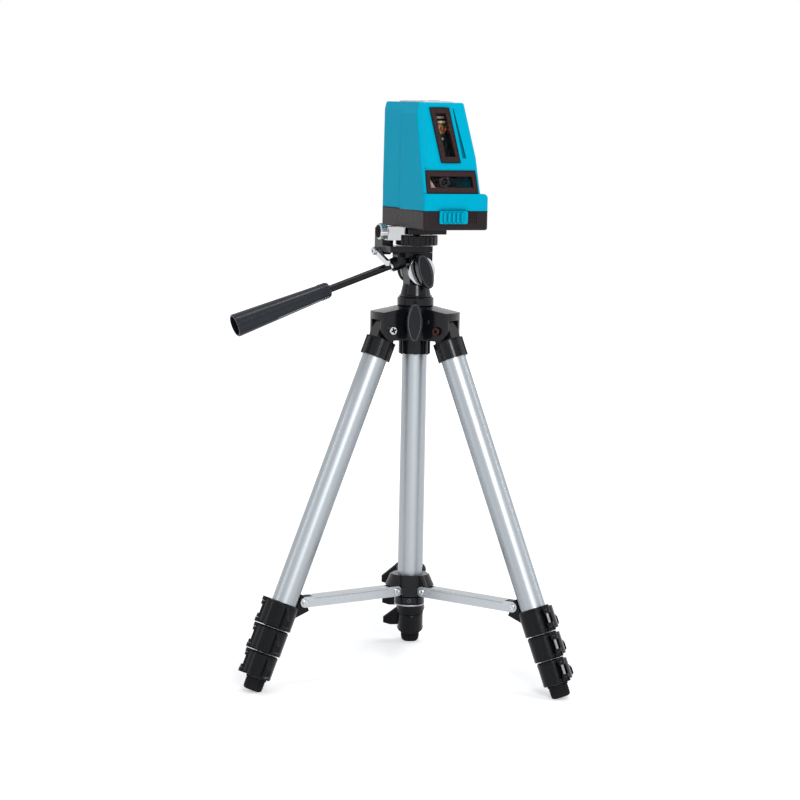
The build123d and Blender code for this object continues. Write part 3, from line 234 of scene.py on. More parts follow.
def moulded(
    name, colour, roughness, grain=0.35, depth=0.012, edge=0.35,
    wear_and_highlight=None, edge_highlight=0.0, blotch=0.08, groove_shade=0.0, **sockets,
):
    """Injection-moulded plastic: a spark-eroded grain, worn edges, which can instead be painted pale all
    round as a highlight, and, where asked for, painted shade in grooves and inner corners.
    """
    made = Surface(name, colour, roughness, **sockets)
    edges = made.soften(edge)
    made.bump(made.noise(grain, 3.0), depth)
    made.tone(made.remap(made.noise(30.0, 2.0), 0.0, 1.0, 0.2, 0.8), scaled(colour, 1.0 + 2 * blotch))
    patches = made.remap(made.noise(5.0, 4.0), 0.0, 1.0, 0.3, 0.8)
    made.tone(patches, scaled(colour, 1.0 - blotch))
    scuffs = made.math("MULTIPLY", made.remap(made.noise(1.6, 5.0), 0.0, 1.0, 0.48, 0.66), 0.5)
    # Edges take the worn tone where they are scuffed; a rubbed share above nought paints whole edges in that
    # tone, as a painted highlight.
    made.tone(made.math("MULTIPLY", edges, made.math("MAXIMUM", scuffs, edge_highlight)), wear_and_highlight or scaled(colour, 2.2))
    # Painted shade: grooves and inner corners are darkened where less light reaches them.
    if groove_shade:
        made.tone(made.math("MULTIPLY", made.painted_groove_shade(5.0), groove_shade), scaled(colour, 0.3))
    made.rough(made.noise(2.2, 4.0), 0.07)
    return made.done()


def metal(name, colour, roughness, place=None, stretch=60.0, grain=0.3, depth=0.004, edge=0.2, **sockets):
    """Bare or plated metal, with drawn lines along a direction where place is given."""
    made = Surface(name, colour, roughness, Metallic=1.0, **sockets)
    edges = made.soften(edge)
    lines = made.along(place, stretch) if place else None
    fine = made.noise(grain, 3.0, lines)
    made.bump(fine, depth)
    made.tone(made.remap(fine, 0.0, 1.0, 0.25, 0.75), scaled(colour, 0.93))
    made.tone(made.remap(made.noise(25.0, 2.0), 0.0, 1.0, 0.2, 0.8), scaled(colour, 0.95))
    made.tone(made.math("MULTIPLY", edges, 0.5), scaled(colour, 1.15))
    made.rough(made.noise(3.0, 5.0, lines), 0.05)
    return made.done()


def rubber(name, colour):
    """Dull, grainy rubber."""
    made = Surface(name, colour, 0.82, Specular_IOR_Level=0.15)
    made.soften(0.4)
    made.bump(made.noise(0.5, 4.0), 0.03)
    made.tone(made.remap(made.noise(6.0, 4.0), 0.0, 1.0), scaled(colour, 1.5))
    made.rough(made.noise(1.5, 3.0), 0.08)
    return made.done()


ALUMINIUM = (0.38, 0.41, 0.435, 1.0)
# How strongly these plastics reflect, where 0.5 is usual.
SATIN = {"Specular_IOR_Level": 0.22}
DULL = {"Specular_IOR_Level": 0.14}
MATERIALS = {
    "black": moulded("black_plastic", srgb(15, 16, 20), 0.2, depth=0.003, **SATIN),
    "lever": moulded("lever_plastic", srgb(15, 16, 19), 0.22, grain=0.25, depth=0.003, **DULL),
    # The knob's edges are painted pale all round, as a painted highlight on its rim.
    "knob": moulded(
        "knob_plastic", srgb(15, 16, 20), 0.16, depth=0.002, edge=0.7,
        wear_and_highlight=srgb(136, 140, 148), edge_highlight=0.85, **SATIN,
    ),
    "grip": moulded("grip_plastic", srgb(28, 32, 39), 0.26, depth=0.004, **SATIN),
    "rubber": rubber("rubber_black", srgb(20, 20, 22)),
    "gasket": rubber("seam_rubber", srgb(14, 12, 13)),
    "chrome": metal("chrome", (0.55, 0.56, 0.58, 1.0), 0.12, grain=1.2, depth=0.001),
    "zinc": metal("zinc", (0.25, 0.25, 0.26, 1.0), 0.3, grain=0.5),
    "steel": metal("steel_dark", (0.075, 0.075, 0.08, 1.0), 0.32, grain=0.5),
    "bronze": metal("bronze_plated", (0.055, 0.022, 0.018, 1.0), 0.24, grain=0.8),
    "brass": metal("brass", (0.62, 0.40, 0.16, 1.0), 0.26, grain=0.4),
    # The blue darkens in its grooves and beside its bezels, as painted shade.
    "blue": moulded(
        "laser_blue", srgb(0, 166, 198), 0.36, grain=0.28, depth=0.005, wear_and_highlight=srgb(50, 190, 215), blotch=0.03,
        groove_shade=0.8, Specular_IOR_Level=0.02,
    ),
    "tray": moulded("laser_black", srgb(36, 28, 31), 0.4, grain=0.3, depth=0.012, **DULL),
    "bezel": moulded("bezel", srgb(50, 32, 33), 0.28, grain=0.2, depth=0.003, **DULL),
    "label": moulded(
        "label_white", srgb(206, 208, 210), 0.35, grain=0.4, depth=0.003, wear_and_highlight=srgb(230, 230, 230)
    ),
    "plate": moulded("bare_label", srgb(150, 152, 155), 0.4, grain=0.4, depth=0.003),
    "cell": moulded("cell_green", srgb(40, 92, 60), 0.3, grain=0.4, depth=0.003),
    "tube": metal("satin_aluminium", ALUMINIUM, 0.42, Matrix.Identity(4), grain=0.35, depth=0.002),
    "channel": metal("channel_sheet", (0.47, 0.50, 0.52, 1.0), 0.3, grain=0.9, depth=0.001),
    "baffle": moulded("baffle", srgb(196, 158, 148), 0.3, grain=0.3, depth=0.003),
    "pale": moulded("coil_former", srgb(225, 215, 190), 0.45, grain=0.3, depth=0.003),
    "red": moulded("lens_red", srgb(150, 18, 14), 0.12, grain=0.5, depth=0.001),
    "lamp": moulded("led_dome", srgb(120, 190, 120), 0.15, grain=0.5, depth=0.001),
}
for number, azimuth in enumerate(AZIMUTHS, start=1):
    MATERIALS[f"tube_{number}"] = metal(
        f"satin_aluminium_{number}", ALUMINIUM, 0.4, leg_place(azimuth), grain=0.35, depth=0.002
    )


def window_glass():
    """Thin pane that bends what lies behind it only a little."""
    made = Surface("glass", (0.90, 0.88, 0.88, 1.0), 0.02, Transmission_Weight=1.0, IOR=1.15)
    made.bump(made.noise(6.0, 2.0), 0.002)
    made.tone(made.remap(made.noise(3.0, 4.0), 0.0, 1.0), (0.84, 0.82, 0.82, 1.0))
    made.rough(made.noise(2.0, 4.0), 0.015)
    return made.done()


MATERIALS["glass"] = window_glass()


# ---- Finishes of the CAD nodes ----
def loose_parts(mesh):
    """Polygon lists of a mesh's separate solids, joined by where their corners lie."""
    parent = {}

    def root(key):
        """The corner that stands for all corners joined with this one so far."""
        while parent[key] != key:
            parent[key] = parent[parent[key]]
            key = parent[key]
        return key

    keys = [tuple(round(c * 1e6) for c in vertex.co) for vertex in mesh.vertices]
    for key in keys:
        parent.setdefault(key, key)
    for polygon in mesh.polygons:
        first = root(keys[polygon.vertices[0]])
        for vertex in polygon.vertices[1:]:
            parent[root(keys[vertex])] = first
    parts = {}
    for polygon in mesh.polygons:
        parts.setdefault(root(keys[polygon.vertices[0]]), []).append(polygon)
    return list(parts.values())


def finish(node, choose, place=None):
    """Gives each separate solid of a CAD node the material that choose(low, high) names."""
    mesh = NODES[node].data
    mesh.materials.clear()
    slots = []
    inverse = (place or Matrix.Identity(4)).inverted()
    for polygons in loose_parts(mesh):
        points = [inverse @ mesh.vertices[v].co / MM for polygon in polygons for v in polygon.vertices]
        low = [min(p[i] for p in points) for i in range(3)]
        high = [max(p[i] for p in points) for i in range(3)]
        name = choose(low, high) if callable(choose) else choose
        if name not in slots:
            slots.append(name)
            mesh.materials.append(MATERIALS[name])
        for polygon in polygons:
            polygon.material_index = slots.index(name)


def leg_rule(number):
    """Rule for a leg's node, in the leg's frame: thin pin, long tube, foot, and otherwise lock or bush."""

    def choose(low, high):
        """Material of the solid whose box runs from low to high."""
        if low[0] > TUBE_RADII[1] and high[0] - low[0] < 4.0:
            return "zinc"
        if high[2] - low[2] > 40.0:
            return f"tube_{number}"
        if low[2] < 4.0 - LEG_LENGTH:
            return "rubber"
        return "lever"

    return choose


for number, azimuth in enumerate(AZIMUTHS, start=1):
    place = leg_place(azimuth)
    finish(f"leg_{number}_knuckle", "black")
    finish(f"leg_{number}_tube_1", f"tube_{number}")
    for part in ("lock_1", "section_2", "section_3", "section_4"):
        finish(f"leg_{number}_{part}", leg_rule(number), place)
    for index in (1, 2, 3):
        finish(f"leg_{number}_lever_{index}", "lever")
    finish(f"brace_arm_{number}", lambda low, high: "channel" if high[2] - low[2] > 9.0 else "chrome")

# These nodes hold solids of two materials, which their sizes or places in millimetres tell apart.
finish("centre_column", lambda low, high: "tube" if high[2] - low[2] > 60.0 else "black")
finish("tilt_block", lambda low, high: "black" if high[1] - low[1] > 20.0 else "steel", HEAD)
finish("tilt_washers", lambda low, high: "steel" if high[1] - low[1] > 2.0 else "chrome", HEAD)
finish("laser_base", lambda low, high: "brass" if high[0] - low[0] < 12.0 else "tray", HEAD)
finish("pendulum", lambda low, high: "brass" if low[2] > 440.0 and high[2] < 462.0 else "steel", HEAD)
PLAIN = {
    "crown": "black",
    "leg_pivot_bolts": "chrome",
    "column_lock_knob": "knob",
    "centre_tube": "tube",
    "tube_end_stop": "black",
    "brace_hub": "black",
    "pan_base": "black",
    "tilt_lock_knob": "knob",
    "handle_rod": "black",
    "handle_grip": "grip",
    "platform": "black",
    "platform_pad": "rubber",
    "clamp_jaw": "chrome",
    "clamp_knob": "chrome",
    "flip_lever": "chrome",
    "camera_screw": "black",
    "laser_housing": "blue",
    "lock_slider": "blue",
    "window_bezels": "bezel",
    "window_glass": "glass",
    "gimbal_ring": "zinc",
    "battery_door": "tray",
    "battery_cells": "cell",
    "keypad": "label",
    "power_button": "rubber",
}
for node, material in PLAIN.items():
    finish(node, material)


# ---- Pieces modelled here ----
def turned(place, at, axis, spin=0.0):
    """A frame inside place: origin at a point in millimetres, z along axis."""
    turn = Vector(axis).to_track_quat("Z", "Y").to_matrix().to_4x4()
    return place @ Matrix.Translation(Vector(at) * MM) @ turn @ Matrix.Rotation(math.radians(spin), 4, "Z")


def laid(place, points):
    """Points in millimetres in the frame of place, as points in metres."""
    return [place @ (Vector(point) * MM) for point in points]


def circle(radius, count):
    """Outline of a circle or regular polygon, anticlockwise."""
    steps = [2 * math.pi * i / count for i in range(count)]
    return [(radius * math.cos(a), radius * math.sin(a)) for a in steps]


def rounded(x, y, corner, steps=5):
    """Outline of a rectangle with round corners, anticlockwise."""
    outline = []
    centres = (
        (x[1], y[1], -1, -1, 0),
        (x[0], y[1], 1, -1, 90),
        (x[0], y[0], 1, 1, 180),
        (x[1], y[0], -1, 1, 270),
    )
    for cx, cy, sx, sy, start in centres:
        for i in range(steps + 1):
            a = math.radians(start + 90 * i / steps)
            outline.append((cx + sx * corner + corner * math.cos(a), cy + sy * corner + corner * math.sin(a)))
    return outline


def cross(arm, half):
    """Outline of a cross recess, anticlockwise."""
    quarter = [(arm, -half), (arm, half), (half, half)]
    outline = []
    for turn in range(4):
        for x, y in quarter:
            for _ in range(turn):
                x, y = -y, x
            outline.append((x, y))
    return outline


class Form:
    """A mesh built from points in millimetres, which becomes one piece riding on a body."""

    def __init__(self):
        self.mesh = bmesh.new()

    def points(self, place, points):
        """New vertices at points in the frame of place."""
        return [self.mesh.verts.new(point) for point in laid(place, points)]

    def bridge(self, one, other):
        """Faces between two rings with as many vertices."""
        count = len(one)
        for i in range(count):
            k = (i + 1) % count
            self.mesh.faces.new((one[i], one[k], other[k], other[i]))

    def lathe(self, place, profile, count=40, closed=False):
        """Turned shape: profile is (radius, height) from its foot up; a radius of 0 closes it."""
        rings = []
        for radius, height in profile:
            if radius == 0:
                rings.append(self.points(place, [(0, 0, height)]))
            else:
                rings.append(self.points(place, [(x, y, height) for x, y in circle(radius, count)]))
        pairs = list(zip(rings, rings[1:]))
        if closed:
            pairs.append((rings[-1], rings[0]))
        for one, other in pairs:
            if len(one) == 1 or len(other) == 1:
                tip, rim = (one, other) if len(one) == 1 else (other, one)
                for i in range(count):
                    self.mesh.faces.new((rim[i], rim[(i + 1) % count], tip[0]))
            else:
                self.bridge(one, other)
        if not closed:
            for ring in (rings[0], rings[-1]):
                if len(ring) > 1:
                    self.mesh.faces.new(ring)
        return self

    def sheet_with_hole(self, place, outer, hole, height):
        """A flat face between two outlines; returns both rows of vertices."""
        rows = [[(x, y, height) for x, y in outline] for outline in (outer, hole)]
        made = [self.points(place, row) for row in rows]
        corners = made[0] + made[1]
        for triangle in tessellate_polygon([[Vector(point) for point in row] for row in rows]):
            self.mesh.faces.new([corners[i] for i in triangle])
        return made

    def screw(self, place, radius, height, recess, depth):
        """Pan head with a rounded rim and a recess of the given outline, whose faces are dark."""
        count = 32
        foot = self.points(place, [(x, y, 0) for x, y in circle(radius, count)])
        rim = self.points(place, [(x, y, height * 0.55) for x, y in circle(radius, count)])
        brow = self.points(place, [(x, y, height * 0.9) for x, y in circle(radius * 0.9, count)])
        self.mesh.faces.new(foot)
        self.bridge(foot, rim)
        self.bridge(rim, brow)
        top, mouth = self.sheet_with_hole(place, circle(radius * 0.78, count), recess, height)
        self.bridge(brow, top)
        floor = self.points(place, [(x * 0.8, y * 0.8, height - depth) for x, y in recess])
        start = len(self.mesh.faces)
        self.bridge(mouth, floor)
        self.mesh.faces.new(floor)
        self.mesh.faces.ensure_lookup_table()
        for face in self.mesh.faces[start:]:
            face.material_index = 1
        return self

    def slab(self, place, outline, low, high, draw=0.0, rim=0.0):
        """Upright plate of an outline, drawn in towards its top and with a broken top edge."""
        middle = [sum(point[i] for point in outline) / len(outline) for i in (0, 1)]
        reach = max(math.hypot(x - middle[0], y - middle[1]) for x, y in outline)
        rows = []
        for height, by in ((low, 0.0), (high - rim, draw), (high, draw + rim)):
            share = 1 - by / reach
            row = []
            for point in outline:
                x, y = (middle[i] + (point[i] - middle[i]) * share for i in (0, 1))
                row.append((x, y, height))
            rows.append(self.points(place, row))
        self.mesh.faces.new(rows[0])
        self.bridge(rows[0], rows[1])
        self.bridge(rows[1], rows[2])
        self.mesh.faces.new(rows[2])
        return self

    def sweep(self, points, radius, count=8, closed=False):
        """Round bead along points that are in metres already."""
        rings = []
        total = len(points)
        for i, point in enumerate(points):
            ahead = points[(i + 1) % total] if closed or i + 1 < total else point
            behind = points[i - 1] if closed or i > 0 else point
            frame_z = (ahead - behind).normalized()
            turn = frame_z.to_track_quat("Z", "Y").to_matrix().to_4x4()
            place = Matrix.Translation(point) @ turn
            rings.append(self.points(place, [(x, y, 0) for x, y in circle(radius, count)]))
        pairs = list(zip(rings, rings[1:]))
        if closed:
            pairs.append((rings[-1], rings[0]))
        for one, other in pairs:
            self.bridge(one, other)
        if not closed:
            self.mesh.faces.new(rings[0])
            self.mesh.faces.new(rings[-1])
        return self

    def done(self, name, body, material, slot):
        """Makes the piece, riding on a body. The slot is not used."""
        bmesh.ops.recalc_face_normals(self.mesh, faces=self.mesh.faces)
        data = bpy.data.meshes.new(name)
        self.mesh.to_mesh(data)
        self.mesh.free()
        data.materials.append(MATERIALS[material])
        if any(polygon.material_index for polygon in data.polygons):
            data.materials.append(MATERIALS["gasket"])
        for polygon in data.polygons:
            polygon.use_smooth = True
        data.set_sharp_from_angle(angle=math.radians(SMOOTH_ANGLE))
        piece = bpy.data.objects.new(name, data)
        bpy.context.scene.collection.objects.link(piece)
        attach(piece, body)


# Profiles as (radius, height) in millimetres. A foot's tread is measured from its station, and a
# grip's ring from the grip's surface and the ring's start. SLOT_LINE is the outline of a screw's slot.
RIVET = [(2.6, 0.0), (2.6, 0.25), (2.35, 0.6), (1.9, 0.8), (1.4, 0.75), (1.0, 0.45), (0.5, 0.4), (0, 0.4)]
SLOT_LINE = [(-1.15, -0.2), (1.15, -0.2), (1.15, 0.2), (-1.15, 0.2)]
FOOT_TREAD = [(7.7, -0.5), (8.05, -0.3), (8.05, 0.3), (7.7, 0.5)]
KNUCKLE_BAND = [(12.1, -9.9), (12.75, -9.7), (12.75, -9.2), (12.1, -9.0)]
GRIP_RING = [(-0.3, 0.0), (0.4, 0.3), (0.4, 1.1), (-0.3, 1.4)]

# Edges of a piece stay sharp above this many degrees.
SMOOTH_ANGLE = 32.0
# How far from a leg's or brace's middle plane a bolt's head, a rivet's dome and a channel's bead sit.
BOLT_HEAD_FOOT = 12.05
RIVET_FOOT = 5.65
CHANNEL_SIDE = 5.3
PAN_HEAD_RADIUS = 3.6
# Distance from each end of a channel to the end of its bead.
BEAD_MARGIN = 9.0
# A lever's ridges: how far out on the tab they are, and, as shares of its half height, how far down
# and up they run and how much shorter they get for each millimetre outwards.
RIDGES_AT = (5.2, 6.8, 8.4, 10.0, 11.3)
RIDGE_DOWN = 0.72
RIDGE_UP = 0.62
RIDGE_TAPER = 0.075
# Distances of the foot's treads from the leg's pivot.
TREADS_AT = (304.6, 306.4, 308.2)
# Angles at which a lock's beads start, and from one of their points to the next.
LOCK_BEAD_START = 108
LOCK_BEAD_STEP = 8
# Height of the window rims' middle line above the front, and their radius.
RIM_LIFT = 0.32
RIM_RADIUS = 0.45
# Just inside the face of the pendulum's front plate, on y.
CARRIER_FRONT = -39.3
# How far the lower laser module is below the swing axis.
LOWER_MODULE = 48.0
# How much nearer the back is at its top than at the band.
REAR_LEAN = 1.2


def upright(azimuth):
    """Frame on the centre line with x along an azimuth."""
    return Matrix.Rotation(math.radians(azimuth), 4, "Z")


def arm_place(azimuth):
    """A brace arm's frame, with its origin at the hub pivot and x along the arm, and the arm's length."""
    lean = math.radians(LEG_TILT)
    radius = PIVOT_RADIUS - BRACE_OFFSET * math.cos(lean) + BRACE_STATION * math.sin(lean)
    height = PIVOT_Z - BRACE_OFFSET * math.sin(lean) - BRACE_STATION * math.cos(lean)
    rise = math.atan2(height - HUB_PIVOT[1], radius - HUB_PIVOT[0])
    shift = Matrix.Translation(Vector((HUB_PIVOT[0], 0, HUB_PIVOT[1])) * MM)
    length = math.hypot(radius - HUB_PIVOT[0], height - HUB_PIVOT[1])
    return upright(azimuth) @ shift @ Matrix.Rotation(-rise, 4, "Y"), length


def dress_pivots():
    """Screw heads, hex-socket nuts and small screws on the crown, and the end stop's screw and ring."""
    for number, azimuth in enumerate(AZIMUTHS, start=1):
        place = upright(azimuth)
        face = turned(place, (PIVOT_RADIUS, BOLT_HEAD_FOOT, PIVOT_Z), (0, 1, 0), 20)
        head = Form().screw(face, PAN_HEAD_RADIUS, 2.95, cross(2.4, 0.75), 1.05)
        head.done(f"pivot_screw_{number}", "root", "chrome", "chrome")
        face = turned(place, (PIVOT_RADIUS, -BOLT_HEAD_FOOT, PIVOT_Z), (0, -1, 0))
        nut = Form().screw(face, PAN_HEAD_RADIUS, 2.9, circle(1.9, 6), 1.0)
        nut.done(f"pivot_nut_{number}", "root", "bronze", "chrome")
        small = turned(place, (19.0, -12.0, 298.0), (0, -1, 0), 35)
        Form().screw(small, 1.8, 0.7, SLOT_LINE, 0.5).done(f"crown_screw_{number}", "root", "steel", "chrome")
    stop = turned(Matrix.Identity(4), (0, -12.3, 65.4), (0, -1, 0), 20)
    Form().screw(stop, 1.7, 0.7, cross(0.9, 0.25), 0.5).done("end_stop_screw", "root", "steel", "chrome")
    ring = [(11.8, 60.7), (12.25, 60.7), (12.4, 60.9), (12.4, 61.6), (12.25, 61.8), (11.8, 61.8)]
    Form().lathe(Matrix.Identity(4), ring, 64, True).done("end_stop_ring", "root", "tube", "satin_aluminium")


def dress_braces():
    """Domed rivet heads and a rolled bead along each channel's side."""
    for number, azimuth in enumerate(AZIMUTHS, start=1):
        place, length = arm_place(azimuth)
        heads = Form()
        beads = Form()
        for side in (-1, 1):
            for x in (0, length):
                heads.lathe(turned(place, (x, side * RIVET_FOOT, 0), (0, side, 0)), RIVET, 28)
            stations = (BEAD_MARGIN, length / 2, length - BEAD_MARGIN)
            line = [(x, side * CHANNEL_SIDE, 2.6) for x in stations]
            beads.sweep(laid(place, line), 0.35)
        heads.done(f"brace_rivets_{number}", f"arm_{number}", "chrome", "chrome")
        beads.done(f"brace_beads_{number}", f"arm_{number}", "tube", "satin_aluminium")


def dress_levers():
    """Finger ridges on both faces of every lever's tab."""
    for number, azimuth in enumerate(AZIMUTHS, start=1):
        for index in range(3):
            radius = LOCK_RADII[index] + LEVER_GAP + LEVER_PLATE / 2
            middle = -LOCK_TOPS[index] - LOCK_HEIGHTS[index] / 2
            half = LOCK_HEIGHTS[index] / 2 - LEVER_MARGIN
            root = math.radians(LEVER_WRAP - 3 + LOCK_TURN)
            out = root + math.radians(TAB_FLARE)
            tab = Matrix.Rotation(out, 4, "Z")
            tab.translation = Vector((radius * math.cos(root), radius * math.sin(root), middle)) * MM
            place = leg_place(azimuth) @ tab
            ridges = Form()
            for side in (-1, 1):
                for x in RIDGES_AT:
                    top = half * (RIDGE_UP - RIDGE_TAPER * x)
                    line = [(x, side * LEVER_PLATE / 2, z) for z in (-half * RIDGE_DOWN, top)]
                    ridges.sweep(laid(place, line), 0.34)
            name = f"lever_ridges_{index + 1}_{number}"
            ridges.done(name, f"lever_{index + 1}_{number}", "lever", "black_plastic")


def dress_legs():
    """Tread rings on the feet, a band on each knuckle and two beads part of the way round each lock."""
    for number, azimuth in enumerate(AZIMUTHS, start=1):
        place = leg_place(azimuth)
        treads = Form()
        for station in TREADS_AT:
            treads.lathe(place, [(radius, height - station) for radius, height in FOOT_TREAD], 48, True)
        treads.done(f"foot_treads_{number}", f"section_4_{number}", "rubber", "rubber_black")
        band = Form().lathe(place, KNUCKLE_BAND, 56, True)
        band.done(f"knuckle_band_{number}", f"leg_{number}", "black", "black_plastic")
        for index, body in enumerate((f"leg_{number}", f"section_2_{number}", f"section_3_{number}")):
            low = -LOCK_TOPS[index] - LOCK_HEIGHTS[index]
            radius = LOCK_RADII[index]
            beads = Form()
            for z in (low + 1.6, low + LOCK_HEIGHTS[index] - 2.2):
                angles = [math.radians(LOCK_TURN + LOCK_BEAD_START + LOCK_BEAD_STEP * i) for i in range(28)]
                line = [(radius * math.cos(a), radius * math.sin(a), z) for a in angles]
                beads.sweep(laid(place, line), 0.28)
            beads.done(f"lock_beads_{index + 1}_{number}", body, "lever", "black_plastic")


def handle_place():
    """Frame of the handle: z out along the rod."""
    slope = math.radians(HANDLE_SLOPE)
    out = (-math.cos(slope), 0, -math.sin(slope))
    return turned(HEAD, (-HANDLE_SOCKET_X, 0, HANDLE_SOCKET_Z), out)


def grip_radius(station):
    """Radius of the tapered grip at a distance along the handle."""
    return GRIP_RADII[0] + (station - ROD_VISIBLE) * (GRIP_RADII[1] - GRIP_RADII[0]) / GRIP_LENGTH


def dress_head():
    """Rings and a seam on the handle, and small parts of the clamp knob, flip lever, pan cone and tilt."""
    place = handle_place()
    rim = [(8.3, 142.0), (8.4, 142.6), (8.6, 142.75), (9.0, 142.7), (9.25, 142.4), (9.25, 142.0)]
    Form().lathe(place, rim, 56, True).done("grip_rim", "handle", "plate", "black_plastic")
    rings = Form()
    for start in (60.0, 62.4, 64.8):
        radius = grip_radius(start)
        rings.lathe(place, [(radius + out, start + along) for out, along in GRIP_RING], 48, True)
    rings.done("grip_rings", "handle", "grip", "black_plastic")
    seam = Form()
    for side in (135, 225):
        turn = Matrix.Rotation(math.radians(side), 4, "Z")
        line = [(0, grip_radius(station) - 0.1, station) for station in (60.0, 80.0, 108.0)]
        seam.sweep(laid(place @ turn, line), 0.3)
    seam.done("grip_seam", "handle", "plate", "black_plastic")
    ferrule = [(3.05, 0.1), (4.3, 0.1), (4.6, 0.5), (4.6, 1.5), (4.2, 2.1), (3.05, 2.1)]
    Form().lathe(place, ferrule, 40, True).done("rod_ferrule", "tilt", "chrome", "chrome")
    face = turned(HEAD, (-34.55, -0.6, 370.8), (-1, 0, 0))
    disc = [(5.3, 0.0), (5.3, 0.35), (4.9, 0.5), (3.2, 0.35), (1.6, 0.35), (1.3, 0.6), (0, 0.65)]
    Form().lathe(face, disc, 44).done("clamp_knob_face", "jaw_knob", "gasket", "black_plastic")
    knurl = Form()
    for i in range(30):
        turn = face @ Matrix.Rotation(math.radians(12 * i), 4, "Z")
        knurl.sweep(laid(turn, [(6.45, 0, z) for z in (-5.4, -1.1)]), 0.28, 6)
    knurl.done("clamp_knob_knurl", "jaw_knob", "chrome", "chrome")
    hub = turned(HEAD, (-33.15, 12.5, 353.9), (-1, 0, 0))
    screw = Form().screw(hub, 3.2, 0.8, cross(1.6, 0.4), 0.6)
    screw.done("flip_lever_screw", "lever_flip", "chrome", "chrome")
    cone = [(13.0, 317.1), (13.55, 317.5), (13.55, 318.3), (12.6, 318.8)]
    Form().lathe(HEAD, cone, 56, True).done("pan_cone_lip", "pan", "black", "black_plastic")
    drum = turned(HEAD, (0, 12.6, 339.0), (0, 1, 0))
    nut = [(4.0, 0.0), (5.9, 0.0), (6.1, 0.4), (6.1, 3.0), (5.6, 4.2), (4.0, 4.5), (3.1, 4.3), (0, 4.2)]
    Form().lathe(drum, nut, 40).done("tilt_nut_cap", "tilt", "black", "black_plastic")


def front_place():
    """Frame of the laser's sloping front: x across, y up the slope, z out, origin at the band's top."""
    run = BODY_FRONT[1] - BODY_FRONT[0]
    length = math.hypot(run, BODY_HEIGHT)
    up = Vector((0, run / length, BODY_HEIGHT / length))
    x = Vector((1, 0, 0))
    place = Matrix((x, up, x.cross(up))).transposed().to_4x4()
    place.translation = Vector((0, BODY_FRONT[0], BAND_TOP)) * MM
    return HEAD @ place


def dress_laser():
    """The tray's seam and the windows' rims, then what lies behind the glass and on the outside."""
    step = LASER_X[0] + SIDE_STEP
    path = []
    for x, y in rounded(LASER_X, LASER_Y, 2.6):
        path.append((max(x, step) if y > SIDE_STEP_Y and x < 0 else x, y, BASE_TOP))
    Form().sweep(laid(HEAD, path), 0.3, 6, True).done("tray_seam", "plate", "gasket", "laser_black")
    front = front_place()
    for name, (bottom, top, start, end) in WINDOWS.items():
        corners = [(bottom[0], start), (bottom[1], start), (top[1], end), (top[0], end)]
        rim = []
        for k in range(4):
            one, other = corners[k], corners[(k + 1) % 4]
            for i in range(4):
                share = i / 4
                x, y = one[0] + (other[0] - one[0]) * share, one[1] + (other[1] - one[1]) * share
                rim.append((x, y, RIM_LIFT))
        bead = Form().sweep(laid(front, rim), RIM_RADIUS, 6, True)
        bead.done(f"window_rim_{name}", "plate", "gasket", "bezel")
    dress_optics(front)
    dress_outside()


def dress_optics(front):
    """Lenses, coil bars, dots and pins on the pendulum, and the baffle behind the wide window."""
    x, y, z = SWING_AXIS
    lens = turned(HEAD, (x + 1.4, y - 18.5, z - 6.0), (0, -1, 0))
    ring = [(1.5, -0.2), (3.2, -0.2), (3.2, 0.5), (2.8, 0.9), (2.0, 0.9), (1.5, 0.3)]
    Form().lathe(lens, ring, 40, True).done("upper_lens_ring", "swing", "brass", "zinc")
    dome = [(1.45, -0.6), (1.45, 0.1), (1.1, 0.4), (0.6, 0.6), (0, 0.7)]
    Form().lathe(lens, dome, 32).done("upper_lens", "swing", "red", "bezel")
    bars = Form()
    for low in (459.4, 463.2):
        outline = rounded((-2.2, 5.2), (low, low + 1.9), 0.5, 3)
        bars.slab(turned(HEAD, (0, CARRIER_FRONT, 0), (0, -1, 0)), outline, 0.0, 1.4, 0.1, 0.2)
    bars.done("coil_bars", "swing", "pale", "label_white")
    dots = Form()
    dot = [(1.0, 0.0), (1.0, 0.5), (0.7, 0.9), (0, 1.0)]
    for dot_x, dot_z in ((-0.6, 441.5), (3.4, 447.0), (-1.6, 433.0)):
        dots.lathe(turned(HEAD, (dot_x, CARRIER_FRONT, dot_z), (0, -1, 0)), dot, 20)
    dots.done("carrier_dots", "swing", "pale", "label_white")
    low_lens = turned(HEAD, (x, y - 23.9, z - LOWER_MODULE), (0, -1, 0))
    ring = [(2.5, -0.2), (4.4, -0.2), (4.2, 0.6), (2.9, 0.6), (2.5, 0.0)]
    Form().lathe(low_lens, ring, 40, True).done("lower_lens_ring", "swing", "steel", "zinc")
    glint = [(2.3, -1.0), (2.3, -0.3), (1.5, 0.1), (0, 0.2)]
    Form().lathe(low_lens, glint, 28).done("lower_lens", "swing", "bronze", "zinc")
    pins = Form()
    for dx, dz in ((-5.0, 2.5), (5.6, 2.8), (7.4, -1.6), (-4.6, -3.0), (3.9, -4.4)):
        pin = turned(HEAD, (x + dx, y - 17.9, z - LOWER_MODULE + dz), (0, -1, 0))
        pins.lathe(pin, [(0.55, 0.0), (0.55, 1.4), (0.35, 1.8), (0, 1.9)], 16)
    pins.done("lower_pins", "swing", "chrome", "zinc")
    baffle = Form()
    baffle.slab(front, [(-16.6, 5.8), (-10.5, 5.8), (-15.2, 13.2), (-16.6, 13.2)], -7.2, -5.3, 0.2, 0.2)
    baffle.done("window_baffle", "plate", "baffle", "bezel")


